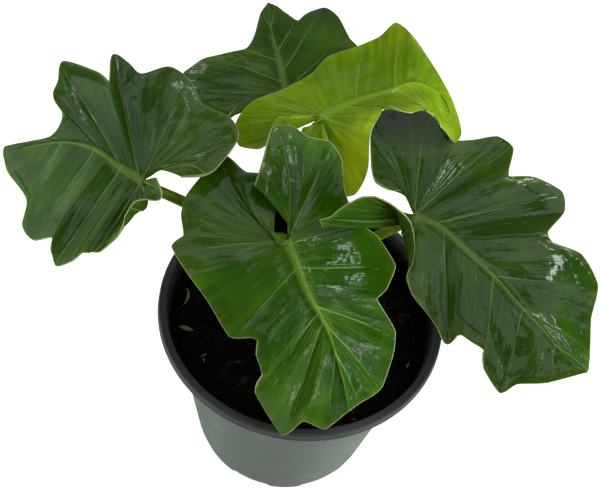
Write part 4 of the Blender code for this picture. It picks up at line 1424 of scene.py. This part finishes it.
def add_light(name, azimuth, elevation, distance, width, height, brightness):
    """A soft rectangular light that faces the plant."""
    lamp = bpy.data.lights.new(name, "AREA")
    lamp.shape = "RECTANGLE"
    lamp.size = width
    lamp.size_y = height
    lamp.energy = brightness * math.pi * width * height
    item = link_object(name, lamp)
    turn, rise = math.radians(azimuth), math.radians(elevation)
    way = Vector((math.sin(turn) * math.cos(rise), math.cos(turn) * math.cos(rise), math.sin(rise)))
    item.location = LIGHT_CENTRE + way * distance
    item.rotation_euler = way.to_track_quat("Z", "Y").to_euler()
    item.visible_camera = False
    item.visible_glossy = not name.startswith("key")


def floor_material(settings):
    """Plain pale matte floor, with a glow that keeps it white all round."""
    material, tree, shader = new_material(
        "floor_paint", Roughness=0.9, Specular_IOR_Level=0.1, Emission_Color=(1.0, 1.0, 1.0, 1.0),
        Emission_Strength=settings.floor_glow)
    shade = add_noise(tree, add_place(tree), 3.0, 2.0)
    colour = add_mix(tree, add_range(tree, shade, 0.3, 0.7, 0.0, 0.06), rgba(settings.floor),
                     rgba([0.97 * part for part in settings.floor]))
    tree.links.new(colour, shader.inputs["Base Color"])
    return material


def make_floor(settings):
    """A wide flat floor, which belongs to the stage."""
    builder = bmesh.new()
    bmesh.ops.create_grid(builder, x_segments=8, y_segments=8, size=FLOOR_REACH)
    floor = link_object("floor", mesh_from(builder, "floor"))
    floor.data.materials.append(floor_material(settings))
    floor.visible_glossy = False


def make_camera(settings):
    """A camera that looks down on the plant from the viewer's side, a little tilted."""
    camera = bpy.data.cameras.new("camera")
    camera.lens = settings.lens
    camera.sensor_width = SENSOR_WIDTH
    item = link_object("camera", camera)
    item.matrix_world = (Matrix.Translation(settings.camera_place)
                         @ Matrix.Rotation(math.pi / 2 - settings.look_down, 4, "X")
                         @ Matrix.Rotation(settings.tilt, 4, "Z"))
    bpy.context.scene.camera = item


def make_surroundings(settings):
    """White to the camera, but dim as a light, so that gaps between the lights stay dark in gloss."""
    world = bpy.data.worlds.new("surroundings")
    world.use_nodes = True
    tree = world.node_tree
    dim = tree.nodes["Background"]
    dim.inputs["Color"].default_value = (0.93, 0.97, 1.0, 1.0)
    dim.inputs["Strength"].default_value = settings.glow
    white = shader_node(tree, "ShaderNodeBackground",
                        values={"Color": (0.84, 0.84, 0.84, 1.0), "Strength": 1.0})
    mix = shader_node(tree, "ShaderNodeMixShader")
    path = shader_node(tree, "ShaderNodeLightPath")
    tree.links.new(path.outputs["Is Camera Ray"], mix.inputs["Fac"])
    tree.links.new(dim.outputs["Background"], mix.inputs[1])
    tree.links.new(white.outputs["Background"], mix.inputs[2])
    tree.links.new(mix.outputs["Shader"], tree.nodes["World Output"].inputs["Surface"])
    bpy.context.scene.world = world
    bpy.context.scene.view_settings.view_transform = "Standard"


class PLANT_OT_pot(Operator):
    """Make the nursery pot"""

    bl_idname = "plant.pot"
    bl_label = "Pot"

    def execute(self, context):
        make_pot(context.scene.plant_pot)
        return {"FINISHED"}


class PLANT_OT_soil(Operator):
    """Make the soil, its crumbs, bark chips and fibres"""

    bl_idname = "plant.soil"
    bl_label = "Soil"

    def execute(self, context):
        settings = context.scene.plant_soil
        make_soil(settings)
        make_crumbs(settings)
        make_chips(settings)
        make_fibres(settings)
        make_pale_chips(settings)
        return {"FINISHED"}


class PLANT_OT_stalks(Operator):
    """Make the stem and the leaf stalks"""

    bl_idname = "plant.stalks"
    bl_label = "Stem and stalks"

    def execute(self, context):
        settings = context.scene.plant_stalks
        material = stalk_material(settings)
        make_stem(settings, material)
        for run in STALKS:
            make_stalk(run, settings, material, "stems" if run[0] is FRONT_LEAF else None)
        return {"FINISHED"}


class PLANT_OT_dark_blades(Operator):
    """Make the four old dark leaf blades"""

    bl_idname = "plant.dark_blades"
    bl_label = "Dark blades"

    def execute(self, context):
        settings = context.scene.plant_blades
        materials = blade_materials(settings, "dark", 0.00022, 0.46)
        for leaf in (FRONT_LEAF, RIGHT_LEAF, LEFT_LEAF, BACK_LEAF):
            make_blade(leaf, materials, settings)
        return {"FINISHED"}


class PLANT_OT_young_blade(Operator):
    """Make the newest, lime-green leaf blade"""

    bl_idname = "plant.young_blade"
    bl_label = "Young blade"

    def execute(self, context):
        settings = context.scene.plant_blades
        materials = blade_materials(settings, "young", 0.00006, 0.14)
        blade = make_blade(YOUNG_LEAF, materials, settings)
        blade.visible_glossy = False
        return {"FINISHED"}


class PLANT_OT_stage(Operator):
    """Make the floor, lights, surroundings and camera"""

    bl_idname = "plant.stage"
    bl_label = "Stage"

    def execute(self, context):
        settings = context.scene.plant_stage
        make_camera(settings)
        make_floor(settings)
        make_surroundings(settings)
        for light in LIGHTS:
            add_light(*light)
        return {"FINISHED"}


OPERATORS = (PLANT_OT_stage, PLANT_OT_pot, PLANT_OT_soil, PLANT_OT_stalks, PLANT_OT_dark_blades,
             PLANT_OT_young_blade)
SETTINGS = {"plant_blades": BladeSettings, "plant_stalks": StalkSettings, "plant_pot": PotSettings,
            "plant_soil": SoilSettings, "plant_stage": StageSettings}


class PLANT_PT_panel(Panel):
    """Sidebar panel that lists the pieces and their settings"""

    bl_idname = "PLANT_PT_panel"
    bl_label = "Potted philodendron"
    bl_space_type = "VIEW_3D"
    bl_region_type = "UI"
    bl_category = "Plant"

    def draw(self, context):
        for name, group in SETTINGS.items():
            box = self.layout.box()
            for prop in group.__annotations__:
                box.prop(getattr(context.scene, name), prop)
        for operator in OPERATORS:
            self.layout.operator(operator.bl_idname)


def register():
    for item in (*SETTINGS.values(), *OPERATORS, PLANT_PT_panel):
        bpy.utils.register_class(item)
    for name, group in SETTINGS.items():
        setattr(bpy.types.Scene, name, PointerProperty(type=group))


def unregister():
    for name in SETTINGS:
        delattr(bpy.types.Scene, name)
    for item in reversed((*SETTINGS.values(), *OPERATORS, PLANT_PT_panel)):
        bpy.utils.unregister_class(item)


def main():
    register()
    for operator in OPERATORS:
        family, name = operator.bl_idname.split(".")
        getattr(getattr(bpy.ops, family), name)()


if __name__ == "__main__":
    main()
